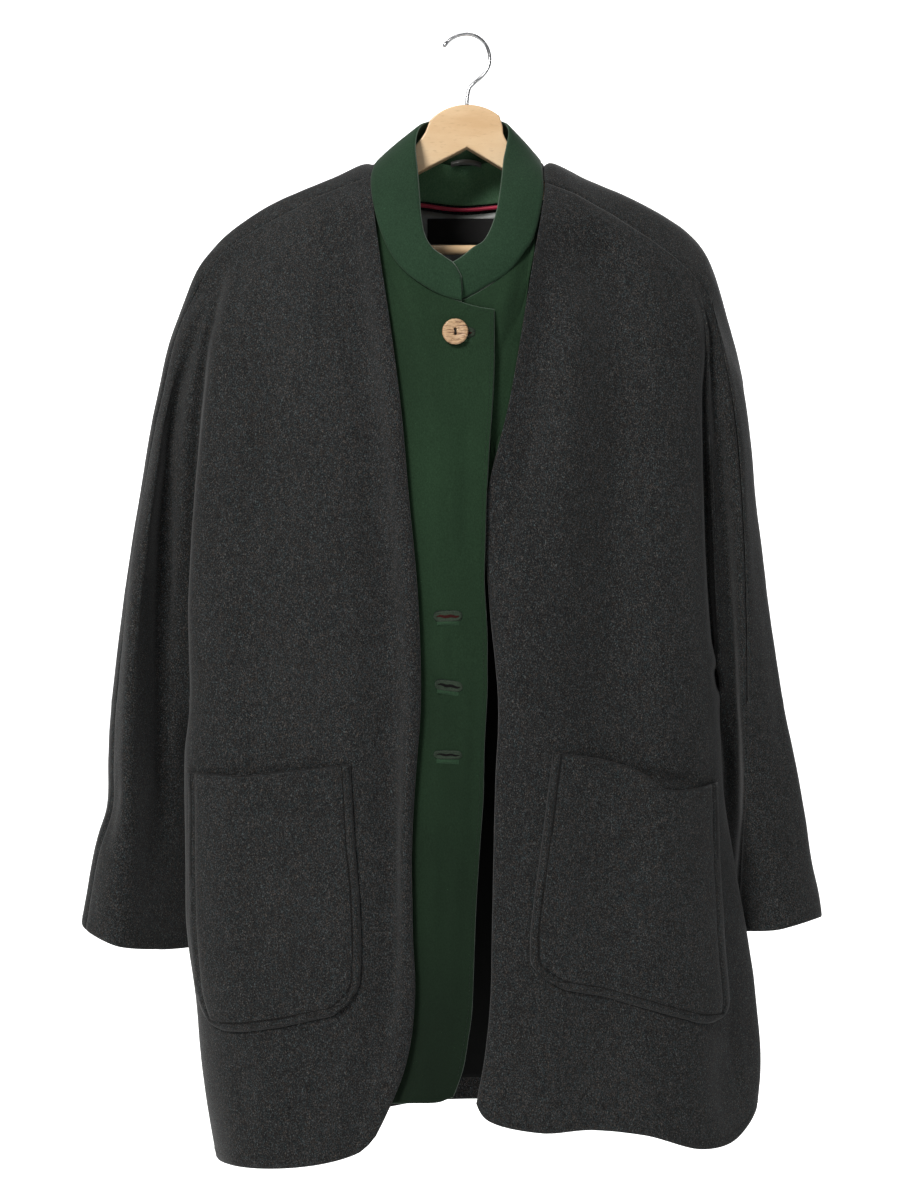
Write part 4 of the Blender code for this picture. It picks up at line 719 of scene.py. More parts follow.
def make_rings():
    rings = {}
    us_all = columns(CAPE, "rE", "lE")
    cape = surface(CAPE, HIGH, us_all)
    o_r, o_l = us_all.index(CAPE.index("rO")), us_all.index(CAPE.index("lO"))
    n_r, n_l = us_all.index(CAPE.index("rN")), us_all.index(CAPE.index("lN"))
    cape[0, : n_r + 1] = on_seam(RIGHT_SEAM, CAPE, "rE", "rN", us_all[: n_r + 1])
    cape[0, n_l:] = on_seam(LEFT_SEAM, CAPE, "lN", "lE", us_all[n_l:])
    cape = relax(cape, 5)
    ways = outward(cape)
    ways[0, : o_r + 1] = seam_ways(ways, cape[0, : o_r + 1], -1)
    ways[0, o_r : n_r + 1] = seam_ways(ways, cape[0, o_r : n_r + 1], -1)
    ways[0, o_l:] = seam_ways(ways, cape[0, o_l:], 1)
    ways[0, n_l : o_l + 1] = seam_ways(ways, cape[0, n_l : o_l + 1], 1)
    for k in range(1, 6):
        f = k / 6
        mix = ways[0] * (1 - f) + ways[6] * f
        ways[k] = mix / np.linalg.norm(mix, axis=1, keepdims=True)
    kind = np.full(cape.shape[:2], "b")
    kind[:, : o_r + 1], kind[:, o_l:] = "r", "l"
    rings["cape"] = (us_all, cape, ways, kind)
    for key, names, closed, low in (("body", BODY, False, LOW), ("r_arm", RIGHT_SLEEVE, True, LOW_ARM), ("l_arm", LEFT_SLEEVE, True, LOW_ARM)):
        us = columns(names, names[0], names[-1])
        grid = surface(names, low, us, closed)
        kind = np.full(grid.shape[:2], "b")
        if key == "body":
            a, b = us.index(BODY.index("rF")), us.index(BODY.index("lF"))
            kind[:, : a + 1], kind[:, b:] = "r", "l"
            first = np.concatenate([cape[-1, : us_all.index(CAPE.index("rV")) + 1], cape[-1, us_all.index(CAPE.index("rY")) + 1 : us_all.index(CAPE.index("lY"))], cape[-1, us_all.index(CAPE.index("lV")) :]])
        elif key == "r_arm":
            a = us.index(RIGHT_SLEEVE.index("rO"))
            kind[:, : a + 1] = "r"
            first = cape[-1, us_all.index(CAPE.index("rV")) : us_all.index(CAPE.index("rY")) + 1]
        else:
            a = us.index(LEFT_SLEEVE.index("lO"))
            kind[:, a:] = "l"
            first = cape[-1, us_all.index(CAPE.index("lY")) : us_all.index(CAPE.index("lV")) + 1]
        if first.shape[0] == grid.shape[1]:
            lag = 1 - smooth((np.array(low) - 1.0) / 0.12)
            shift = first - grid[0]
            grid += lag[:, None, None] * shift[None]
        else:
            print("rows don't meet", key, first.shape, grid.shape)
        grid = relax(grid, 4)
        rings[key] = (us, grid, outward(grid, closed), kind)
    for key in rings:
        us, grid, ways, kind = rings[key]
        rings[key] = (us, dress(grid, ways, kind), ways)
    return rings


# ---------------------------------------------------------------- materials
def nodes_of(name, rough, colour, metal=0.0, sheen=0.0, coat=0.0, spec=0.5):
    m = bpy.data.materials.new(name)
    m.use_nodes = True
    t = m.node_tree
    b = t.nodes["Principled BSDF"]
    b.inputs["Base Color"].default_value = (*colour, 1)
    b.inputs["Roughness"].default_value = rough
    b.inputs["Metallic"].default_value = metal
    b.inputs["Sheen Weight"].default_value = sheen
    b.inputs["Sheen Roughness"].default_value = 0.45
    b.inputs["Coat Weight"].default_value = coat
    b.inputs["Specular IOR Level"].default_value = spec
    coord = t.nodes.new("ShaderNodeTexCoord")
    return m, t, b, coord


def grain(t, coord, scale, stretch=(1, 1, 1), detail=2.0, rough=0.55, seed=0.0):
    mp = t.nodes.new("ShaderNodeMapping")
    mp.inputs["Scale"].default_value = stretch
    mp.inputs["Location"].default_value = (seed, seed * 0.7, seed * 1.3)
    t.links.new(coord.outputs["Object"], mp.inputs["Vector"])
    n = t.nodes.new("ShaderNodeTexNoise")
    n.inputs["Scale"].default_value = scale
    n.inputs["Detail"].default_value = detail
    n.inputs["Roughness"].default_value = rough
    t.links.new(mp.outputs["Vector"], n.inputs["Vector"])
    return n.outputs["Fac"]


def ramp(t, fac, stops):
    r = t.nodes.new("ShaderNodeValToRGB")
    e = r.color_ramp.elements
    e[0].position, e[0].color = stops[0][0], (*stops[0][1], 1)
    e[1].position, e[1].color = stops[-1][0], (*stops[-1][1], 1)
    for pos, col in stops[1:-1]:
        x = e.new(pos)
        x.color = (*col, 1)
    t.links.new(fac, r.inputs["Fac"])
    return r.outputs["Color"]


def mixed(t, a, b, fac, kind="MIX"):
    m = t.nodes.new("ShaderNodeMix")
    m.data_type, m.blend_type = "RGBA", kind
    for value, socket in ((fac, m.inputs[0]), (a, m.inputs[6]), (b, m.inputs[7])):
        if isinstance(value, (int, float)):
            socket.default_value = value
        elif isinstance(value, tuple):
            socket.default_value = (*value, 1)
        else:
            t.links.new(value, socket)
    return m.outputs[2]


def grey(x):
    return (x, x, x)


def bump(t, b, parts):
    """parts: (height socket, strength, distance)."""
    last = None
    for fac, strength, distance in parts:
        n = t.nodes.new("ShaderNodeBump")
        n.inputs["Strength"].default_value = strength
        n.inputs["Distance"].default_value = distance
        t.links.new(fac, n.inputs["Height"])
        if last is not None:
            t.links.new(last, n.inputs["Normal"])
        last = n.outputs["Normal"]
    t.links.new(last, b.inputs["Normal"])


def loden(name, gain=1.0, fleck=1.0):
    m, t, b, c = nodes_of(name, 0.95, (0.035, 0.036, 0.038), sheen=0.16, spec=0.18)
    body = grain(t, c, 1050, (1, 1, 0.7), 2.5, 0.65)
    wide = grain(t, c, 9, (1, 1, 0.5), 3, 0.6, 4.0)
    mid = grain(t, c, 230, (1, 1, 0.45), 3, 0.6, 2.0)
    pale = grain(t, c, 1400, (1, 1, 0.6), 1.5, 0.5, 9.0)
    tint = grain(t, c, 700, (1, 1, 0.7), 1.5, 0.5, 23.0)
    dark = grain(t, c, 900, (1, 1, 0.7), 1.5, 0.5, 17.0)
    base = ramp(t, body, [(0.34, (0.008 * gain, 0.0085 * gain, 0.009 * gain)), (0.5, (0.026 * gain, 0.0265 * gain, 0.0275 * gain)), (0.66, (0.066 * gain, 0.067 * gain, 0.068 * gain))])
    base = mixed(t, base, ramp(t, mid, [(0.3, grey(0.72)), (0.7, grey(1.25))]), 1.0, "MULTIPLY")
    base = mixed(t, base, ramp(t, wide, [(0.3, grey(0.84)), (0.7, grey(1.16))]), 1.0, "MULTIPLY")
    base = mixed(t, base, (0.28 * gain, 0.29 * gain, 0.285 * gain), ramp(t, pale, [(0.595, grey(0)), (0.69, grey(0.56 * fleck))]))
    base = mixed(t, base, ramp(t, tint, [(0.32, (0.78, 1.06, 1.12)), (0.5, grey(1.0)), (0.68, (1.22, 1.0, 0.84))]), 1.0, "MULTIPLY")
    base = mixed(t, base, (0.006, 0.006, 0.0065), ramp(t, dark, [(0.58, grey(0)), (0.72, grey(0.8))]))
    t.links.new(base, b.inputs["Base Color"])
    bump(t, b, [(grain(t, c, 620, (1, 1, 0.6), 4, 0.7, 5.0), 0.5, 0.0005), (grain(t, c, 1900, (1, 1, 0.6), 2, 0.6, 1.0), 0.5, 0.00025)])
    return m


def painted_shade_lower_down(t, coord, base, shade_span, least):
    """Painted shade: darkens the cloth from the second of the two given heights down to the first, where it lies in the
    jacket's own depth.
    """
    split = t.nodes.new("ShaderNodeSeparateXYZ")
    t.links.new(coord.outputs["Object"], split.inputs["Vector"])
    fall = t.nodes.new("ShaderNodeMapRange")
    fall.inputs["From Min"].default_value, fall.inputs["From Max"].default_value = shade_span
    t.links.new(split.outputs["Z"], fall.inputs["Value"])
    return mixed(t, base, ramp(t, fall.outputs["Result"], [(0.0, grey(least)), (1.0, grey(1.0))]), 1.0, "MULTIPLY")


def felt(name, low, high, sheen=0.2, shade_span=None):
    m, t, b, c = nodes_of(name, 0.9, low, sheen=sheen, spec=0.2)
    fine_n = grain(t, c, 900, (1, 1, 0.7), 3, 0.6)
    wide = grain(t, c, 14, (1, 1, 0.6), 4, 0.6, 3.0)
    base = ramp(t, fine_n, [(0.3, low), (0.7, high)])
    base = mixed(t, base, ramp(t, wide, [(0.3, grey(0.88)), (0.7, grey(1.14))]), 1.0, "MULTIPLY")
    # painted shade: darker towards the bottom
    if shade_span is not None:
        base = painted_shade_lower_down(t, c, base, shade_span, 0.34)
    lint = grain(t, c, 520, (1, 1, 1), 1, 0.5, 31.0)
    base = mixed(t, base, tuple(v * 3.2 for v in high), ramp(t, lint, [(0.76, grey(0)), (0.84, grey(0.35))]))
    t.links.new(base, b.inputs["Base Color"])
    bump(t, b, [(grain(t, c, 260, (1, 1, 0.8), 4, 0.65, 8.0), 0.25, 0.0005), (fine_n, 0.35, 0.00025)])
    return m


def satin(name, low, high, rough, shade_span=None, spec=0.5, aniso=0.35):
    m, t, b, c = nodes_of(name, rough, low, sheen=0.05, spec=spec)
    b.inputs["Anisotropic"].default_value = aniso
    # painted sheen: the wide light and dark mottling of the colour stands in for the satin's reflections
    wide = grain(t, c, 60, (0.8, 1, 1.6), 3, 0.5, 2.0)
    base = ramp(t, wide, [(0.3, low), (0.7, high)])
    # painted shade: darker towards the bottom
    if shade_span is not None:
        base = painted_shade_lower_down(t, c, base, shade_span, 0.10)
    t.links.new(base, b.inputs["Base Color"])
    bump(t, b, [(grain(t, c, 45, (1, 1, 1.5), 2, 0.5, 6.0), 0.35, 0.0014), (grain(t, c, 1800, (0.3, 1, 2.2), 1, 0.5), 0.25, 0.0001)])
    return m


def horn(name):
    m, t, b, c = nodes_of(name, 0.42, (0.45, 0.3, 0.17), coat=0.15, spec=0.45)
    rings_n = grain(t, c, 60, (1.1, 1, 9.0), 5, 0.62, 2.0)
    pores = grain(t, c, 420, (0.35, 1, 1.8), 3, 0.6, 7.0)
    base = ramp(t, rings_n, [(0.36, (0.09, 0.036, 0.016)), (0.42, (0.36, 0.20, 0.105)), (0.50, (0.64, 0.43, 0.25)), (0.57, (0.58, 0.37, 0.2)), (0.62, (0.15, 0.065, 0.03)), (0.68, (0.6, 0.4, 0.23)), (0.76, (0.5, 0.32, 0.18))])
    base = mixed(t, base, (0.09, 0.04, 0.02), ramp(t, pores, [(0.6, grey(0)), (0.72, grey(0.7))]))
    t.links.new(base, b.inputs["Base Color"])
    bump(t, b, [(rings_n, 0.5, 0.0005), (pores, 0.3, 0.0003)])
    return m


def timber(name):
    m, t, b, c = nodes_of(name, 0.38, (0.78, 0.545, 0.323), coat=0.25, spec=0.4)
    b.inputs["Coat Roughness"].default_value = 0.25
    long_n = grain(t, c, 26, (0.35, 1, 2.6), 5, 0.6, 3.0)
    rays = grain(t, c, 520, (0.3, 1, 1.4), 2, 0.5, 8.0)
    base = ramp(t, long_n, [(0.3, (0.75, 0.49, 0.26)), (0.5, (0.86, 0.61, 0.36)), (0.72, (0.92, 0.70, 0.45))])
    base = mixed(t, base, (0.58, 0.36, 0.19), ramp(t, rays, [(0.58, grey(0)), (0.74, grey(0.4))]))
    t.links.new(base, b.inputs["Base Color"])
    bump(t, b, [(long_n, 0.12, 0.0006), (rays, 0.15, 0.0002)])
    return m


def metal(name):
    m, t, b, c = nodes_of(name, 0.2, (0.62, 0.62, 0.63), metal=1.0)
    wear = grain(t, c, 240, (1, 1, 1), 4, 0.6)
    t.links.new(ramp(t, wear, [(0.35, (0.5, 0.5, 0.51)), (0.7, (0.78, 0.78, 0.79))]), b.inputs["Base Color"])
    t.links.new(ramp(t, wear, [(0.3, grey(0.14)), (0.7, grey(0.3))]), b.inputs["Roughness"])
    return m


LODEN = loden("grey_loden_cloth", 0.58)
LODEN_EDGE = loden("grey_loden_edge", 0.68, 1.0)
# painted shade: the fronts' green is a darker copy of the collar's green wool, and darker still towards the hem
GREEN_FRONT_PAINTED_SHADE = felt("green_wool", (0.0085, 0.0245, 0.0103), (0.0170, 0.0435, 0.0198), 0.06, shade_span=(-0.98, -0.42))
GREEN_COLLAR = felt("green_wool_collar", (0.0110, 0.0310, 0.0150), (0.0215, 0.0530, 0.0275), 0.08)
# the paler green of the turned edges is partly wear and partly a painted highlight
GREEN_EDGE_WEAR_AND_HIGHLIGHT = felt("green_wool_edge_wear_and_highlight", (0.034, 0.066, 0.040), (0.06, 0.105, 0.068), 0.3)
# painted light and shade: the lining's colour is lifted for the dim neck, mottled with painted sheen and darkened
# towards the bottom
SATIN_PAINTED_LIGHT_AND_SHADE = satin("dark_lining_painted_light_and_shade", (0.055, 0.064, 0.058), (0.135, 0.150, 0.138), 0.36, shade_span=(-0.29, -0.205))
# the loop and the label carry the same painted sheen mottling as the lining
SATIN_LOOP = satin("dark_loop", (0.075, 0.08, 0.078), (0.12, 0.128, 0.124), 0.3)
LABEL = satin("blank_label", (0.0052, 0.0050, 0.0052), (0.0080, 0.0078, 0.0080), 0.7, spec=0.2, aniso=0.0)
# painted light: the neck facing takes a far lighter copy of the green wool, making up for the shade of collar and
# hanger
GREEN_IN_PAINTED_LIGHT = felt("green_wool_inside_painted_light", (0.075, 0.175, 0.092), (0.125, 0.265, 0.150), 0.12)
# painted highlight: the buttonholes' swelling lower lips take a lighter copy of the green wool
GREEN_LIP_PAINTED_LIGHT = felt("green_wool_lip_painted_light", (0.014, 0.038, 0.018), (0.026, 0.062, 0.031), 0.12)
# painted shade: a much darker copy of the grey cloth for the pockets' turned edges and stitch grooves
RIM_PAINTED_SHADE = loden("grey_loden_painted_shade", 0.2, 0.4)
# the cord's colour carries the satin's painted sheen mottling
CRIMSON = satin("crimson_cord", (0.36, 0.006, 0.035), (0.55, 0.016, 0.07), 0.5)
HORN = horn("staghorn")
WOOD = timber("beech")
STEEL = metal("plated_wire")
THREAD = felt("grey_thread", (0.012, 0.0125, 0.013), (0.028, 0.029, 0.030), 0.1)
GREEN_THREAD = felt("green_thread", (0.006, 0.012, 0.0075), (0.018, 0.031, 0.021), 0.1)
DARK_THREAD = felt("dark_thread", (0.008, 0.007, 0.006), (0.02, 0.017, 0.014), 0.1)
# painted shade: near-black sheets for the buttonholes' openings
SLIT_PAINTED_SHADE = felt("buttonhole_inside_painted_shade", (0.0015, 0.0013, 0.0013), (0.003, 0.0025, 0.0025), 0.0)
DEEP = felt("lining_in_shade", (0.0022, 0.0025, 0.0023), (0.004, 0.0045, 0.0042), 0.0)
# a very dark red for two openings: the red is their own colour, the darkness painted shade
SLIT_RED_PAINTED_SHADE = felt("buttonhole_red_painted_shade", (0.012, 0.0015, 0.0015), (0.05, 0.007, 0.006), 0.0)
CORDING = felt("buttonhole_cording", (0.020, 0.034, 0.022), (0.042, 0.058, 0.040), 0.1)


# ---------------------------------------------------------------- cloth as a shell
def link(name, verts, faces, mats, kinds=None, smooth_it=True):
    data = bpy.data.meshes.new(name)
    data.from_pydata([tuple(v) for v in verts], [], [tuple(int(i) for i in f) for f in faces])
    for m in mats:
        data.materials.append(m)
    if kinds is not None:
        data.polygons.foreach_set("material_index", np.asarray(kinds, np.int32))
    if smooth_it:
        data.shade_smooth()
    data.update()
    obj = bpy.data.objects.new(name, data)
    bpy.context.scene.collection.objects.link(obj)
    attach(obj, "root")
    return obj


def shell(name, panel, wall, mats, nodes, roll=0.3, edge=0.3):
    """The panel as thin cloth with a rounded, turned edge."""
    out, way = np.array(panel.out), np.array(panel.way)
    way = way / np.maximum(np.linalg.norm(way, axis=1, keepdims=True), 1e-9)
    quads = np.array([[int(i) for i in q] for q in panel.quads])
    n = len(out)
    e = np.concatenate([quads[:, [0, 1]], quads[:, [1, 2]], quads[:, [2, 3]], quads[:, [3, 0]]])
    key, rev = e[:, 0].astype(np.int64) * n + e[:, 1], e[:, 1].astype(np.int64) * n + e[:, 0]
    border = e[~np.isin(key, rev)]
    mid = out[quads].mean(1)
    acc, cnt = np.zeros_like(out), np.zeros(n)
    for k in range(4):
        np.add.at(acc, quads[:, k], mid)
        np.add.at(cnt, quads[:, k], 1)
    t = out - acc / np.maximum(cnt, 1)[:, None]
    t -= way * (t * way).sum(1, keepdims=True)
    t /= np.maximum(np.linalg.norm(t, axis=1, keepdims=True), 1e-9)
    b = np.unique(border)
    inner = out - way * wall
    top = out.copy()
    top[b] -= way[b] * wall * roll
    inner[b] += way[b] * wall * roll * 0.6
    rim = out[b] - way[b] * wall * 0.5 + t[b] * wall * edge
    at = {int(v): 2 * n + k for k, v in enumerate(b)}
    faces = [tuple(q) for q in quads] + [tuple(q[::-1] + n) for q in quads]
    kinds = [0] * len(faces)
    for p, q in border:
        p, q = int(p), int(q)
        faces.append((q, p, at[p], at[q]))
        faces.append((at[q], at[p], p + n, q + n))
        kinds += [len(mats) - 1] * 2
    obj = link(name, np.concatenate([top, inner, rim]), faces, mats, kinds)
    if nodes:
        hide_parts(*nodes)
    return obj


def at_grid(grid, ways, i, j):
    """Point and way out at fractional row i and column j."""
    i = min(max(i, 0), grid.shape[0] - 1.0001)
    j = min(max(j, 0), grid.shape[1] - 1.0001)
    a, b = int(i), int(j)
    f, g = i - a, j - b
    w = ((1 - f) * (1 - g), (1 - f) * g, f * (1 - g), f * g)
    p = grid[a, b] * w[0] + grid[a, b + 1] * w[1] + grid[a + 1, b] * w[2] + grid[a + 1, b + 1] * w[3]
    n = ways[a, b] * w[0] + ways[a, b + 1] * w[1] + ways[a + 1, b] * w[2] + ways[a + 1, b + 1] * w[3]
    return p, n / np.linalg.norm(n)


def stitch_row(store, points, ways, pitch=0.0034, long=0.0024, radius=0.00032, sink=0.00005):
    """Small stitches along a line of points, each a short bent grain of thread."""
    points, ways = np.array(points), np.array(ways)
    step = np.linalg.norm(np.diff(points, axis=0), axis=1)
    s = np.concatenate([[0], np.cumsum(step)])
    verts, faces = store
    d = pitch / 2
    while d < s[-1] - pitch / 2:
        def where(v):
            return np.array([np.interp(v, s, points[:, k]) for k in range(3)])
        a, b = where(d - long / 2), where(d + long / 2)
        n = np.array([np.interp(d, s, ways[:, k]) for k in range(3)])
        n /= np.linalg.norm(n)
        run = (b - a) / max(np.linalg.norm(b - a), 1e-9)
        side = np.cross(run, n)
        base = len(verts)
        mid = (a + b) / 2 + n * (radius * 0.9 - sink)
        rings_p = [(a - n * radius * 0.4, 0.35), (a * 0.7 + b * 0.3 + n * radius * 0.7, 0.95), (mid * 1.0, 1.05), (a * 0.3 + b * 0.7 + n * radius * 0.7, 0.95), (b - n * radius * 0.4, 0.35)]
        for c, r in rings_p:
            for k in range(5):
                ang = 2 * math.pi * k / 5
                verts.append(c + (side * math.cos(ang) + n * math.sin(ang)) * radius * r)
        for m in range(4):
            for k in range(5):
                k2 = (k + 1) % 5
                faces.append((base + m * 5 + k, base + m * 5 + k2, base + m * 5 + 5 + k2, base + m * 5 + 5 + k))
        faces.append(tuple(base + k for k in range(5))[::-1])
        faces.append(tuple(base + 20 + k for k in range(5)))
        d += pitch


def threads(name, store, mat):
    obj = link(name, store[0], store[1], [mat])
    return obj


RINGS = make_rings()
FRONT_R = shell("cloth_front_right", front_panel(RINGS, "r"), WALL, [LODEN, LODEN_EDGE], ["front_right"])
FRONT_L = shell("cloth_front_left", front_panel(RINGS, "l"), WALL, [LODEN, LODEN_EDGE], ["front_left"])
BACK = shell("cloth_back", back_panel(RINGS), WALL, [LODEN, LODEN_EDGE], ["back"])

# ---------------------------------------------------------------- green fronts
ROWS = np.linspace(0, 1, 30)


def upper_foot(f):
    return 1103 if f < 0.8 else 1103 - 6 * (f - 0.8) / 0.2


def denser(coarse, rows, cols, lines=None):
    """Smooth finer grid through a coarse one."""
    r = np.arange(coarse.shape[0], dtype=float)
    c = np.arange(coarse.shape[1], dtype=float)
    a = np.array([through(r, coarse[:, j], rows) for j in range(coarse.shape[1])]).transpose(1, 0, 2)
    return np.array([through(c, a[i], cols) for i in range(len(a))])


def graded_cols(n, fine):
    """Column positions 0…n−1, finer beside the last edge."""
    u = np.linspace(0, n - 1 - 0.12, fine)
    return np.concatenate([u, [n - 1 - 0.07, n - 1 - 0.035, n - 1.0]])


UNDERLAY = 0.0085
upper = cloth_lines("r", PLACKET_LINES, upper_foot, PLACKET_EDGE, ROWS)
rows_hem = np.concatenate([[0, 0.05, 0.12, 0.22], np.linspace(0.35, 28.5, 215), [28.63, 28.76, 28.88, 29.0]])
upper_d = denser(upper, rows_hem, graded_cols(upper.shape[1], 56))
lower = cloth_lines("l", UNDERLAP_LINES, lambda f: 1095, UNDERLAP_EDGE, ROWS)
lower_d = denser(lower, rows_hem, np.concatenate([[0, 0.07, 0.14], np.linspace(0.25, lower.shape[1] - 1, 48)]))

# creases of the green cloth: half width px, height mm, line
GREEN_CREASES = (
    (9, -1.0, ((418, 330), (428, 450), (434, 560))), (9, 0.9, ((446, 380), (452, 470), (455, 590))), (7, -0.9, ((470, 360), (466, 470), (468, 580))),
    (6, -0.9, ((447, 640), (452, 658), (449, 672))), (6, 0.8, ((462, 640), (468, 720), (466, 800))), (8, -1.0, ((438, 790), (444, 880), (440, 980))),
    (8, 0.9, ((456, 830), (455, 930), (450, 1030))), (6, -0.8, ((470, 700), (472, 800), (468, 900))), (5, 0.7, ((432, 960), (426, 1040), (420, 1095))),
    (6, -0.8, ((402, 300), (414, 372), (420, 440))), (5, 0.8, ((430, 306), (444, 316), (462, 318))),
)


def lay_green(grid, seed):
    ways = outward(grid)
    if ways[..., 1].mean() > 0:
        ways = -ways
    q = drawn(grid)
    global CREASES
    kept = CREASES
    CREASES = tuple(("g", w, h, line) for w, h, line in GREEN_CREASES)
    h = relief(q[..., 0], q[..., 1], "g")
    CREASES = kept
    h = h + undulate(grid.reshape(-1, 3), seed, 0.0004, 0.00015).reshape(h.shape)
    return grid + ways * h[..., None], ways


def plain(name, grid, ways, wall, mats, nodes, flip=True, roll=0.3, edge=0.3):
    panel = Panel()
    if flip:
        panel.add(grid[:, ::-1], ways[:, ::-1])
    else:
        panel.add(grid, ways)
    return shell(name, panel, wall, mats, nodes, roll, edge)


upper_d, upper_w = lay_green(upper_d, 11.0)
lower_d, lower_w = lay_green(lower_d, 17.0)
PLACKET_R = plain("green_front_right", upper_d, upper_w, GREEN_WALL, [GREEN_FRONT_PAINTED_SHADE, GREEN_EDGE_WEAR_AND_HIGHLIGHT], ["placket_right"])
PLACKET_L = plain("green_front_left", lower_d, lower_w, GREEN_WALL, [GREEN_FRONT_PAINTED_SHADE, GREEN_EDGE_WEAR_AND_HIGHLIGHT], ["placket_left"])

# ---------------------------------------------------------------- stand collar
COLLAR_ENDS = (
    (461.5, 300, -76.4, 462.2, 287, -76.4), (460.2, 299.4, -76.3, 461.0, 277, -76.3), (457.5, 298.6, -76.2, 457.8, 269.5, -76.2), (453.5, 297.6, -76.1, 452.5, 262.5, -76), (449, 296.3, -76, 446, 257.8, -75.6),
)
table = np.array(COLLAR_ENDS + COLLAR[1:], float)
span = np.concatenate([[0.0, 0.16, 0.36, 0.62, 0.82], np.arange(1, len(COLLAR), dtype=float) + 0.25])
steps = np.concatenate([np.linspace(0, 0.16, 4)[:-1], np.linspace(0.16, 1.25, 14)[:-1], np.linspace(1.25, len(COLLAR) - 0.75, 170)])
# behind, the foot reaches a little way down inside the neck seam, and beside the right shoulder a little way out
table[:, 1] += 3.6 * smooth((table[:, 2] - 10.0) / 25.0)
front_foot = (table[:, 0] > 486) & (table[:, 2] < -50)
table[:, 0] += 1.6 * front_foot
table[:, 1] += 1.8 * front_foot
table[:, 0] -= 3.0 * (table[:, 0] < 380) * smooth((table[:, 2] + 62.0) / 20.0) * smooth((10.0 - table[:, 2]) / 20.0)
foot, brim = place(through(span, table[:, :3], steps)), place(through(span, table[:, 3:], steps))
heights = np.concatenate([[0, 0.025, 0.06, 0.1], np.linspace(0.15, 0.9, 14), [0.94, 0.97, 1.0]])
band = np.array([brim + (foot - brim) * f for f in heights])
ways = outward(band)
for k, f in enumerate(heights):
    band[k] += ways[k] * 0.0022 * 4 * f * (1 - f)
h = undulate(band.reshape(-1, 3), 5.0, 0.0007, 0.0002).reshape(band.shape[:2])
band += ways * h[..., None]
COLLAR_P = plain("stand_collar", band, ways, COLLAR_WALL, [GREEN_COLLAR, GREEN_EDGE_WEAR_AND_HIGHLIGHT], ["collar"], flip=False, roll=0.35, edge=0.35)
# only the top edge and the lapping end keep the paler edge green, partly wear and partly a painted highlight
for poly in COLLAR_P.data.polygons:
    if poly.material_index == 1:
        here = np.array(poly.center)
        near_foot = np.linalg.norm(band[-1] - here, axis=1).min()
        near_brim = np.linalg.norm(band[0] - here, axis=1).min()
        if near_foot < near_brim and near_foot < 0.004:
            poly.material_index = 0

# ---------------------------------------------------------------- inside the back
us, cape, cape_way = RINGS["cape"]
_, body, body_way = RINGS["body"]


def inner_rows(shares, i, j, depth_in):
    points, outs = [], []
    for v in shares:
        k = min(max(sum(h <= v for h in HIGH) - 1, 0), len(HIGH) - 2)
        f = (v - HIGH[k]) / (HIGH[k + 1] - HIGH[k])
        n = cape_way[k, i : j + 1] * (1 - f) + cape_way[k + 1, i : j + 1] * f
        p = cape[k, i : j + 1] * (1 - f) + cape[k + 1, i : j + 1] * f
        points.append(p - n * depth_in)
        outs.append(n)
    return np.array(points), np.array(outs)


def inside_back(x, y, depth_in):
    p, n = spot("r", x, y, back=True)
    return p - n * depth_in, -n


i0, i1 = us.index(CAPE.index("r1")) + 3, us.index(CAPE.index("l1")) - 3
grid, way = inner_rows(np.concatenate([[0.002], np.linspace(0.008, 0.141, 22)]), i0, i1, WALL + 0.0012)
# the facing's lighter green is painted light
FACING = plain("neck_facing_cloth", grid, way, SATIN_WALL, [GREEN_IN_PAINTED_LIGHT, GREEN_IN_PAINTED_LIGHT], ["neck_facing"], flip=False)
grid, way = inner_rows((0.1485,), i0, i1, WALL + 0.0034)
cord = bpy.data.curves.new("piping", "CURVE")
cord.dimensions, cord.bevel_depth, cord.bevel_resolution, cord.use_fill_caps = "3D", 0.0019, 4, True
line = cord.splines.new("POLY")
line.points.add(grid.shape[1] - 1)
for k, p in enumerate(grid[0]):
    line.points[k].co = (*p, 1)
PIPING = bpy.data.objects.new("piping", cord)
bpy.context.scene.collection.objects.link(PIPING)
cord.materials.append(CRIMSON)
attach(PIPING, "root")
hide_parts("neck_piping")

i0, i1 = us.index(CAPE.index("rM")), us.index(CAPE.index("lM"))
j0, j1 = RINGS["body"][0].index(BODY.index("rM")), RINGS["body"][0].index(BODY.index("lM"))
first = [k for k, v in enumerate(HIGH) if v > 0.1595][0]
grid, way = inner_rows((0.1560,) + HIGH[first:], i0, i1, WALL + 0.0006)
keep = [k for k, v in enumerate(LOW) if 1.0 < v < 1.95]
lower_p, lower_way = body[keep, j0 : j1 + 1], body_way[keep, j0 : j1 + 1]
LINING = plain("lining_cloth", np.concatenate([grid, lower_p - lower_way * (WALL + 0.0006)]), np.concatenate([way, lower_way]), SATIN_WALL, [SATIN_PAINTED_LIGHT_AND_SHADE, SATIN_PAINTED_LIGHT_AND_SHADE], ["back_lining"], flip=False)
LINING.data.materials.append(DEEP)
for poly in LINING.data.polygons:
    if poly.center.z < -0.285:
        poly.material_index = 2

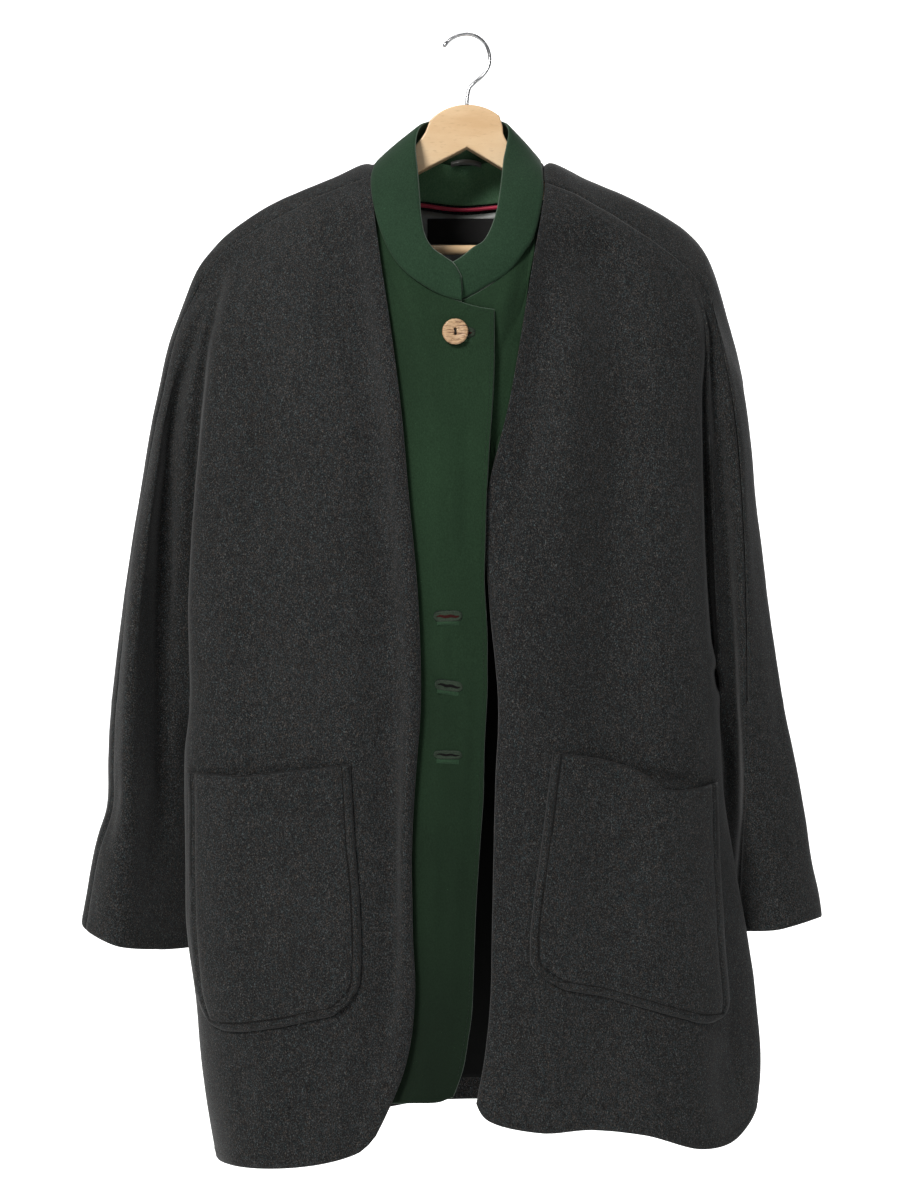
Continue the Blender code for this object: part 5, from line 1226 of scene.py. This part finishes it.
rows_l, cols_l = 12, 30
grid, way = np.zeros((3, 5, 3)), np.zeros((3, 5, 3))
for j, x in enumerate(np.linspace(427, 497, 5)):
    for i, y in enumerate((219.5, 232, 244.5)):
        grid[i, j], way[i, j] = inside_back(x, y, WALL + 0.0005 + SATIN_WALL + 0.0012 + 0.0008)
fine = denser(grid, np.linspace(0, 2, rows_l), np.linspace(0, 4, cols_l))
fine_w = denser(way, np.linspace(0, 2, rows_l), np.linspace(0, 4, cols_l))
LABEL_P = plain("blank_label", fine, fine_w, 0.0008, [LABEL, LABEL], ["label"])
store = ([], [])
frame_line = [(0.5, c) for c in np.linspace(0.8, cols_l - 1.8, 60)]
edge_l = [at_grid(fine, fine_w, r, 0.8) for r in np.linspace(0.4, rows_l - 1.4, 24)]
edge_r = [at_grid(fine, fine_w, r, cols_l - 1.8) for r in np.linspace(0.4, rows_l - 1.4, 24)]
edge_t = [at_grid(fine, fine_w, 0.5, c) for c in np.linspace(0.8, cols_l - 1.8, 60)]
for row in (edge_l, edge_r, edge_t):
    stitch_row(store, [p for p, n in row], [n for p, n in row], 0.0018, 0.0013, 0.00016)
LABEL_STITCH = threads("label_stitches", store, THREAD)

loop, loop_n = [], []
for f in np.linspace(-1, 1, 9):
    p, n = inside_back(466.5 + 17 * f, 172.5 - 3.0 * (1 - f * f), WALL + 0.0067 + 0.003 * (1 - f * f))
    p = p + np.array((0, 0, 0.0072))
    loop.append(p)
    loop_n.append(n)
t9, tf = np.arange(9.0), np.linspace(0, 8, 60)
loop, loop_n = through(t9, np.array(loop), tf), through(t9, np.array(loop_n), tf)
up = np.array((0, 0, 0.0022))
grid = np.array([loop + up * a for a in (1, 0.5, 0, -0.5, -1)])
way = np.array([loop_n] * 5)
bulge = np.array([0, 0.75, 1, 0.75, 0])[:, None, None] * 0.0006
LOOP = plain("loop_ribbon", grid + way * bulge, way, 0.0012, [SATIN_LOOP, SATIN_LOOP], ["hanging_loop"])

# ---------------------------------------------------------------- pockets
POCKET_PLACE = {}


def rounded(c, r, rx, ry):
    """Draws the two lower corners of the unit square in to arcs of radius rx (share of width) and ry (share of height)."""
    for k in range(2):
        cc = c if k == 0 else 1 - c
        if cc < rx and r > 1 - ry:
            p, q = 1 - cc / rx, 1 - (1 - r) / ry
            p2, q2 = p * math.sqrt(1 - q * q / 2), q * math.sqrt(1 - p * p / 2)
            cc, r = rx * (1 - p2), 1 - ry * (1 - q2)
            c = cc if k == 0 else 1 - cc
    return c, r


def pocket_cloth(name, side, plan, nodes, sag):
    coarse_n = 13
    base, ways0 = np.zeros((coarse_n, coarse_n, 3)), np.zeros((coarse_n, coarse_n, 3))
    for i, r in enumerate(np.linspace(0, 1, coarse_n)):
        for j, c in enumerate(np.linspace(0, 1, coarse_n)):
            xt = plan["left"][0][1] + c * (plan["right"][0][1] - plan["left"][0][1])
            xb = plan["left"][-1][1] + c * (plan["right"][-1][1] - plan["left"][-1][1])
            yt, yb = level(plan["top"], xt), level(plan["foot"], xb)
            y = yt + r * (yb - yt)
            x = level(plan["left"], y) * (1 - c) + level(plan["right"], y) * c
            base[i, j], ways0[i, j] = spot(side, x, y)
    wide = np.linalg.norm(base[6, -1] - base[6, 0])
    tall = np.linalg.norm(base[-1, 6] - base[0, 6])
    cs, rs = graded(wide), graded(tall)
    rows = denser(base, rs * (coarse_n - 1), cs * (coarse_n - 1))
    wayd = denser(ways0, rs * (coarse_n - 1), cs * (coarse_n - 1))
    grid, gway = np.zeros_like(rows), np.zeros_like(rows)
    lift = np.zeros(rows.shape[:2])
    rx, ry = 0.024 / wide, 0.024 / tall
    for i, r in enumerate(rs):
        for j, c in enumerate(cs):
            c2, r2 = rounded(c, r, rx, ry)
            ii, jj = np.interp(r2, rs, np.arange(len(rs))), np.interp(c2, cs, np.arange(len(cs)))
            grid[i, j], gway[i, j] = at_grid(rows, wayd, ii, jj)
            gape = level(plan["gape"], c) * MM * max(0.0, 1 - r * 1.6) ** 1.5 * 4 * min(c, 1 - c, 0.25)
            lift[i, j] = STANDOFF * 0.75 + gape
            d = min(c * wide, (1 - c) * wide, (1 - r) * tall)
            lift[i, j] += 0.0012 * smooth(d / 0.004) - 0.0012 * math.exp(-(((d - 0.0073) / 0.0012) ** 2))
            dt = r * tall
            lift[i, j] -= 0.0004 * math.exp(-(((dt - 0.030) / 0.0016) ** 2)) * (d > 0.007)
    q = drawn(grid)
    h = relief(q[..., 0], q[..., 1], side) + undulate(grid.reshape(-1, 3), 3.1).reshape(lift.shape)
    h += undulate(grid.reshape(-1, 3), 29.0, 0.0009, 0.0003).reshape(lift.shape)
    grid = grid + gway * (lift + WALL + h)[..., None]
    gway = outward(grid)
    if gway[..., 1].mean() > 0:
        gway = -gway
    obj = plain(name, grid, gway, 0.0032, [LODEN, RIM_PAINTED_SHADE], nodes, roll=0.3, edge=0.25)
    POCKET_PLACE[name] = (grid, gway, cs, rs, wide, tall)
    # painted shade: the turned edge and the groove of its stitching take a much darker copy of the grey cloth
    line = np.concatenate([grid[:, 0], grid[-1], grid[:, -1]])
    mids = np.array([tuple(poly.center) for poly in obj.data.polygons])
    gap = np.array([np.linalg.norm(line - m, axis=1).min() for m in mids])
    for k, poly in enumerate(obj.data.polygons):
        if gap[k] < 0.0011 or 0.0066 < gap[k] < 0.0080:
            poly.material_index = 1
    store = ([], [])
    inset = 0.0073
    ci, co = np.interp(inset / wide, cs, np.arange(len(cs))), np.interp(1 - inset / wide, cs, np.arange(len(cs)))
    rb = np.interp(1 - inset / tall, rs, np.arange(len(rs)))
    path = [(r, ci) for r in np.linspace(0.6, rb, 90)] + [(rb, c) for c in np.linspace(ci, co, 70)[1:]] + [(r, co) for r in np.linspace(rb, 0.6, 90)[1:]]
    pts = [at_grid(grid, gway, r, c) for r, c in path]
    stitch_row(store, [p for p, n in pts], [n for p, n in pts], 0.0032, 0.0023, 0.0003)
    threads(name + "_stitches", store, DARK_THREAD)
    return obj


POCKET_R = pocket_cloth("patch_pocket_right", "r", POCKET_RIGHT, ["pocket_right"], 0)
POCKET_L = pocket_cloth("patch_pocket_left", "l", POCKET_LEFT, ["pocket_left"], 1)

# ---------------------------------------------------------------- stitches along hems, cuffs and front edges
def along_row(ring, low, i, j, inset_v, margin=0.4):
    us_r, grid, ways = RINGS[ring]
    row = np.interp(2.0 - inset_v, low, np.arange(len(low)))
    cols = np.linspace(i + margin, j - margin, max(4, int((j - i) * 2)))
    return [at_grid(grid, ways, row, c) for c in cols]


store = ([], [])
ub = RINGS["body"][0]
fr, fl = ub.index(BODY.index("rF")), ub.index(BODY.index("lF"))
for row in (along_row("body", LOW, 0, fr, 0.0073 / 0.411), along_row("body", LOW, fr, fl, 0.0073 / 0.411), along_row("body", LOW, fl, len(ub) - 1, 0.0073 / 0.411)):
    stitch_row(store, [p for p, n in row], [n for p, n in row], 0.0034, 0.0024, 0.0003)
for ring in ("r_arm", "l_arm"):
    row = along_row(ring, LOW_ARM, 0, len(RINGS[ring][0]) - 1, 0.0073 / 0.225)
    stitch_row(store, [p for p, n in row], [n for p, n in row], 0.0034, 0.0024, 0.0003)
HEM_STITCH = threads("hem_and_cuff_stitches", store, THREAD)


def on_green(x, y):
    """Place on the upper green front drawn at x, y."""
    q = drawn(upper_d)
    k = np.argmin(((q - np.array((x, y))) ** 2).sum(-1))
    i, j = np.unravel_index(k, q.shape[:2])
    return upper_d[i, j] + (place((x, y, upper_d[i, j][1] / MM)) - upper_d[i, j]) * np.array((1, 0, 1)), upper_w[i, j]


# the upper green front's turned edge is stitched a needle's breadth in
store = ([], [])
pts = []
for y in np.linspace(311.5, 1078, 260):
    p, n = on_green(level(PLACKET_EDGE, y) - 3.4, y)
    pts.append((p, n))
stitch_row(store, [p for p, n in pts], [n for p, n in pts], 0.0034, 0.0023, 0.00022)
pts = [on_green(x, y) for x, y in zip(np.linspace(466, 490, 12), np.interp(np.linspace(466, 490, 12), (461, 476, 494), (306.5, 309.5, 312.5)))]
stitch_row(store, [p for p, n in pts], [n for p, n in pts], 0.0034, 0.0023, 0.00022)
EDGE_STITCH = threads("green_edge_stitches", store, GREEN_THREAD)


# ---------------------------------------------------------------- buttonholes
def buttonhole(name, x, y, tilt=0.0, open_=1.0, lip=1.0, inside=None):
    """Corded buttonhole: a rim of close stitches round a narrow slit, which is a dark sheet of painted shade, and a
    fuller lower lip in a lighter green, a painted highlight.
    """
    centre, n = on_green(x, y)
    n = n / np.linalg.norm(n)
    right = np.array((1.0, 0, 0)) - n * n[0]
    right /= np.linalg.norm(right)
    right = right * math.cos(tilt) - np.array((0, 0, 1.0)) * math.sin(tilt)
    up = np.cross(right, n)
    up /= np.linalg.norm(up)
    if up[2] < 0:
        up = -up
    verts, faces = [], []
    a_len, b_len = 0.0112, 0.0032
    turns, ring = 180, 8
    for k in range(turns):
        t = 2 * math.pi * k / turns
        cx, cy = math.cos(t), math.sin(t)
        ex = a_len * np.sign(cx) * abs(cx) ** 0.55
        ey = (b_len * open_ * (1.0 if cy > 0 else 1.15)) * np.sign(cy) * abs(cy) ** 0.75 + 0.0004 * math.sin(cx * 3.1)
        nx, ny = cx / a_len, cy / b_len
        s = math.hypot(nx, ny)
        nx, ny = nx / s, ny / s
        r = 0.00105 * (1 + 0.20 * math.sin(k * 2 * math.pi / 3)) * (1.0 if cy > 0 else 1.0 + 0.25 * lip)
        for m in range(ring):
            a = 2 * math.pi * m / ring
            p = centre + right * (ex + nx * r * math.cos(a)) + up * (ey + ny * r * math.cos(a)) + n * (0.00035 + r * 0.75 * math.sin(a))
            verts.append(p)
    for k in range(turns):
        for m in range(ring):
            k2, m2 = (k + 1) % turns, (m + 1) % ring
            faces.append((k * ring + m, k * ring + m2, k2 * ring + m2, k2 * ring + m))
    rim = link(name, verts, faces, [CORDING])
    # a dark line round the rim, the cording inside it and the slit itself, a dark sheet of painted shade
    for part, ea, eb, out, mat in (("_outline", 0.0127, 0.0050, 0.00022, GREEN_THREAD), ("_cording", 0.0108, 0.0029, 0.00085, CORDING), ("_slit", 0.0100, 0.00125, 0.00115, inside or SLIT_PAINTED_SHADE)):
        verts, faces = [centre + n * out], []
        for k in range(72):
            t = 2 * math.pi * k / 72
            cx, cy = math.cos(t), math.sin(t)
            power = 0.5 if part != "_slit" else 0.9
            drop = -0.0003 if part == "_slit" else 0.0
            wave = 0.0004 * math.sin(cx * 7.0) if part == "_slit" else 0.0
            verts.append(centre + right * ea * np.sign(cx) * abs(cx) ** power + up * (eb * open_ * np.sign(cy) * abs(cy) ** (power + 0.2) + drop + wave) + n * out)
        for k in range(72):
            faces.append((0, 1 + k, 1 + (k + 1) % 72))
        layer = link(name + part, verts, faces, [mat])
    # the lower lip: the cloth swells a little below the slit, in a lighter green that is a painted highlight
    verts, faces = [], []
    for i in range(7):
        for j in range(33):
            f, g = i / 6, j / 32
            bell = math.sin(math.pi * f) * math.sin(math.pi * g) ** 0.6
            verts.append(centre + right * (-0.0098 + 0.0196 * g) - up * (0.0040 + 0.0042 * f) + n * (0.0001 + 0.0016 * lip * bell))
    for i in range(6):
        for j in range(32):
            a = i * 33 + j
            faces.append((a, a + 33, a + 34, a + 1))
    lips = link(name + "_lip", verts, faces, [GREEN_LIP_PAINTED_LIGHT])
    return rim


HOLES = [buttonhole("buttonhole_1", 448, 616, 0.0, 1.05, 1.2, SLIT_RED_PAINTED_SHADE), buttonhole("buttonhole_2", 449, 685.5, 0.15, 1.0, 0.9), buttonhole("buttonhole_3", 448, 754.5, 0.05, 0.75, 0.9)]
HOLE_TOP = buttonhole("buttonhole_top", 461, 332.5, 0.0, 1.0, 0.5, SLIT_RED_PAINTED_SHADE)

# ---------------------------------------------------------------- button
lo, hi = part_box("button")
b_mid = (np.array(lo) + np.array(hi)) / 2
radius = BUTTON_RADIUS
side_n = 84
verts, faces = [], []


def disc(a, b):
    return a * math.sqrt(max(0, 1 - b * b / 2)), b * math.sqrt(max(0, 1 - a * a / 2))


def face_height(x, y):
    rr = math.hypot(x, y) / radius
    h = BUTTON_HEIGHT / 2 - 0.0007 * max(0, 1 - (rr / 0.72) ** 2) - 0.0013 * max(0, (rr - 0.86) / 0.14) ** 2.2
    h += 0.00012 * noise.noise(Vector((x * 300, y * 1500, 1.0))) + 0.00018 * noise.noise(Vector((x * 90, y * 420, 4.0)))
    for hy in (0.0021, -0.0021):
        d = math.hypot(x, (y - hy)) / 0.00115
        h -= 0.0030 * (1 - smooth((d - 0.75) / 0.5))
    return h


for i in range(side_n + 1):
    for j in range(side_n + 1):
        x, y = disc(2 * j / side_n - 1, 2 * i / side_n - 1)
        verts.append((x * radius, y * radius, face_height(x * radius, y * radius)))
for i in range(side_n):
    for j in range(side_n):
        a = i * (side_n + 1) + j
        faces.append((a, a + 1, a + side_n + 2, a + side_n + 1))
ring_ids = [j for j in range(side_n + 1)] + [(i + 1) * (side_n + 1) - 1 for i in range(1, side_n + 1)] + [side_n * (side_n + 1) + j for j in range(side_n - 1, -1, -1)] + [i * (side_n + 1) for i in range(side_n - 1, 0, -1)]
count = len(ring_ids)
prev = ring_ids
for scale, z in ((1.0, 0.0004), (0.995, -0.0008), (0.93, -BUTTON_HEIGHT / 2 + 0.0001), (0.0, -BUTTON_HEIGHT / 2)):
    if scale == 0.0:
        verts.append((0, 0, z))
        c = len(verts) - 1
        for k in range(count):
            faces.append((prev[(k + 1) % count], prev[k], c))
        break
    now = []
    for v in ring_ids:
        now.append(len(verts))
        verts.append((verts[v][0] * scale, verts[v][1] * scale, z))
    for k in range(count):
        faces.append((prev[k], now[k], now[(k + 1) % count], prev[(k + 1) % count]))
    prev = now
zb = np.array((0.0, -1.0, 0.05))
zb /= np.linalg.norm(zb)
xb = np.cross((0, 0, 1), zb)
xb /= np.linalg.norm(xb)
yb = np.cross(zb, xb)
world = [b_mid + xb * v[0] + yb * v[1] + zb * v[2] for v in verts]
BUTTON = link("horn_button", world, faces, [HORN])
bm = bmesh.new()
bm.from_mesh(BUTTON.data)
bmesh.ops.recalc_face_normals(bm, faces=bm.faces)
bm.to_mesh(BUTTON.data)
bm.free()
BUTTON.data.shade_smooth()
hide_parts("button")


def tube_piece(name, points, radius_t, mat, res=4, nodes=(), cyclic=False, taper=None):
    c = bpy.data.curves.new(name, "CURVE")
    c.dimensions, c.bevel_depth, c.bevel_resolution, c.use_fill_caps = "3D", radius_t, res, True
    s = c.splines.new("POLY")
    s.points.add(len(points) - 1)
    for k, p in enumerate(points):
        s.points[k].co = (*p, 1)
        s.points[k].radius = 1.0 if taper is None else taper[k]
    s.use_cyclic_u = cyclic
    o = bpy.data.objects.new(name, c)
    c.materials.append(mat)
    bpy.context.scene.collection.objects.link(o)
    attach(o, "root")
    if nodes:
        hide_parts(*nodes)
    return o


for k, dx in enumerate((-0.00045, 0.00045)):
    pts = []
    for f in np.linspace(-1, 1, 17):
        y = f * 0.0021
        z = BUTTON_HEIGHT / 2 - 0.0007 + 0.00085 * (1 - f ** 4) - (0.0022 if abs(f) > 0.99 else 0.0)
        pts.append(b_mid + xb * (dx * (1.0 - 0.3 * f * (1 if k else -1))) + yb * y + zb * z)
    tube_piece("button_thread_%d" % (k + 1), pts, 0.0004, DARK_THREAD, 3)

# ---------------------------------------------------------------- hanger
arch = [(467 + 46 * math.sin(a), 106 + 46 * (1 - math.cos(a)) * 0.86) for a in np.linspace(-0.95, 0.78, 41)]
right_top = [(424, 136), (413, 149), (400, 160), (385, 171.5), (370, 178.5), (347, 186), (324, 194), (300, 204), (278, 215), (262, 226.5), (249, 237.5)]
left_top = [(502.5, 128), (503.5, 136), (509, 146), (520, 158), (534, 170), (549, 179.5), (567, 187), (590, 194), (612, 204), (635, 214), (655, 223), (667, 232)]
under_left = [(671, 243), (670, 257), (650.5, 257), (650.5, 245), (600, 226), (560, 208), (520, 184), (502, 169.5)]
under_right = [(417, 174.5), (392, 188), (340, 210), (300, 226), (266, 244), (266, 257), (245, 257), (244, 243)]


def curve_of(points, n):
    a = np.array(points, float)
    return [tuple(p) for p in through(np.arange(len(a), dtype=float), a, np.linspace(0, len(a) - 1, n))]


top_line = curve_of(right_top[::-1] + [(x, y) for x, y in arch if 428 < x < 500.5] + left_top, 150)
wood_line = top_line + under_left[:4] + curve_of(under_left[3:], 24)[1:] + [(467, 148.5)] + curve_of(under_right[:5], 24) + under_right[5:]
c = bpy.data.curves.new("wooden_hanger", "CURVE")
c.dimensions, c.fill_mode = "2D", "BOTH"
bev = 0.0014
c.extrude, c.bevel_depth, c.bevel_resolution, c.offset = WOOD_THICK / 2 - bev, bev, 3, -bev
s = c.splines.new("POLY")
pts = place([(x, y, 0.0) for x, y in wood_line])
s.points.add(len(pts) - 1)
for k, p in enumerate(pts):
    s.points[k].co = (p[0], p[2], 0, 1)
s.use_cyclic_u = True
HANGER = bpy.data.objects.new("wooden_hanger", c)
HANGER.rotation_euler = (math.pi / 2, 0, 0)
c.materials.append(WOOD)
bpy.context.scene.collection.objects.link(HANGER)
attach(HANGER, "root")
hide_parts("hanger_wood")
a, b = place((266.6, 250, 0)), place((649.9, 250, 0))
BAR = tube_piece("trouser_bar", [a + (b - a) * f for f in np.linspace(0, 1, 30)], BAR_RADIUS, WOOD, 8, ["hanger_bar"])
bend = [(467, 105.3), (467.6, 96), (469.5, 88.5), (475, 82.5), (482, 76.5), (487.5, 69), (489.8, 60.5), (488.8, 51.5), (484.5, 43), (477, 36.8), (467.5, 34.15), (458, 35.6), (449.5, 40.4), (443.5, 47)]
path = place([(x, y, 0) for x, y in through(np.arange(len(bend), dtype=float), np.array(bend, float), np.linspace(0, len(bend) - 1, 120))])
taper = [1.0] * 112 + [1.0, 1.02, 1.1, 1.2, 1.22, 1.16, 0.95, 0.45]
HOOK = tube_piece("wire_hook", path, HOOK_RADIUS, STEEL, 8, ["hanger_hook"], taper=taper)
HOOK.data.shade_smooth() if hasattr(HOOK.data, "shade_smooth") else None

# ---------------------------------------------------------------- stage, light and camera
verts, faces = [], []
profile = [(-3.6, -1.32), (4.6, -1.32)] + [(4.6 + 1.2 * math.sin(a), -1.32 + 1.2 * (1 - math.cos(a))) for a in np.linspace(0.1, math.pi / 2, 14)] + [(5.8, 6.0)]
for x in (-7.0, 7.0):
    for y, z in profile:
        verts.append((x, y, z))
n = len(profile)
for k in range(n - 1):
    faces.append((k, k + 1, n + k + 1, n + k))
data = bpy.data.meshes.new("studio_floor")
data.from_pydata(verts, [], faces)
data.shade_smooth()
FLOOR = bpy.data.objects.new("studio_floor", data)
bpy.context.scene.collection.objects.link(FLOOR)
m, t, b, c = nodes_of("pale_floor", 0.85, (0.9, 0.9, 0.9), spec=0.2)
t.links.new(ramp(t, grain(t, c, 3.0), [(0.3, grey(0.88)), (0.7, grey(0.91))]), b.inputs["Base Color"])
# the far part of the sweep glows evenly, as a lit backdrop does
split = t.nodes.new("ShaderNodeSeparateXYZ")
t.links.new(c.outputs["Object"], split.inputs["Vector"])
glow = t.nodes.new("ShaderNodeMapRange")
glow.inputs["From Min"].default_value, glow.inputs["From Max"].default_value = 0.1, 1.0
glow.inputs["To Min"].default_value, glow.inputs["To Max"].default_value = 0.1, 0.95
t.links.new(split.outputs["Y"], glow.inputs["Value"])
b.inputs["Emission Color"].default_value = (1, 1, 1, 1)
t.links.new(glow.outputs["Result"], b.inputs["Emission Strength"])
data.materials.append(m)


def area_light(name, where, aim, size, power, tint=(1, 1, 1)):
    light = bpy.data.lights.new(name, "AREA")
    light.shape, light.size, light.energy, light.color = "SQUARE", size, power, tint
    o = bpy.data.objects.new(name, light)
    bpy.context.scene.collection.objects.link(o)
    o.location = where
    o.rotation_euler = (Vector(aim) - Vector(where)).to_track_quat("-Z", "Y").to_euler()
    o.visible_camera = False
    return o


area_light("key", (-1.35, -2.3, 1.25), (0, 0, -0.5), 0.9, 78, (1, 0.985, 0.96))
area_light("fill", (0.8, -2.8, 0.4), (0, 0, -0.5), 1.4, 2.5, (0.96, 0.98, 1))
area_light("top", (-0.2, -0.2, 2.0), (0, 0.1, -0.5), 1.0, 9)
area_light("rear", (0.9, 2.2, 1.1), (0, 0, -0.5), 1.4, 26)
w = bpy.data.worlds.new("studio")
bpy.context.scene.world = w
w.use_nodes = True
w.node_tree.nodes["Background"].inputs["Color"].default_value = (0.95, 0.97, 1.0, 1)
w.node_tree.nodes["Background"].inputs["Strength"].default_value = 0.12
pale = w.node_tree.nodes.new("ShaderNodeBackground")
pale.inputs["Color"].default_value = (0.96, 0.96, 0.96, 1)
seen = w.node_tree.nodes.new("ShaderNodeLightPath")
both = w.node_tree.nodes.new("ShaderNodeMixShader")
w.node_tree.links.new(seen.outputs["Is Camera Ray"], both.inputs[0])
w.node_tree.links.new(w.node_tree.nodes["Background"].outputs[0], both.inputs[1])
w.node_tree.links.new(pale.outputs[0], both.inputs[2])
w.node_tree.links.new(both.outputs[0], w.node_tree.nodes["World Output"].inputs["Surface"])

cam = bpy.data.cameras.new("camera")
cam.sensor_fit, cam.sensor_width, cam.lens = "AUTO", 36, 36 * 2.0 / 1.104
CAM = bpy.data.objects.new("camera", cam)
bpy.context.scene.collection.objects.link(CAM)
CAM.location = ((MID_X - HANG_X) * UNIT, -REACH, (HANG_Y - MID_Y) * UNIT)
CAM.rotation_euler = (math.pi / 2, 0, 0)
bpy.context.scene.camera = CAM
bpy.context.scene.view_settings.view_transform = "Standard"
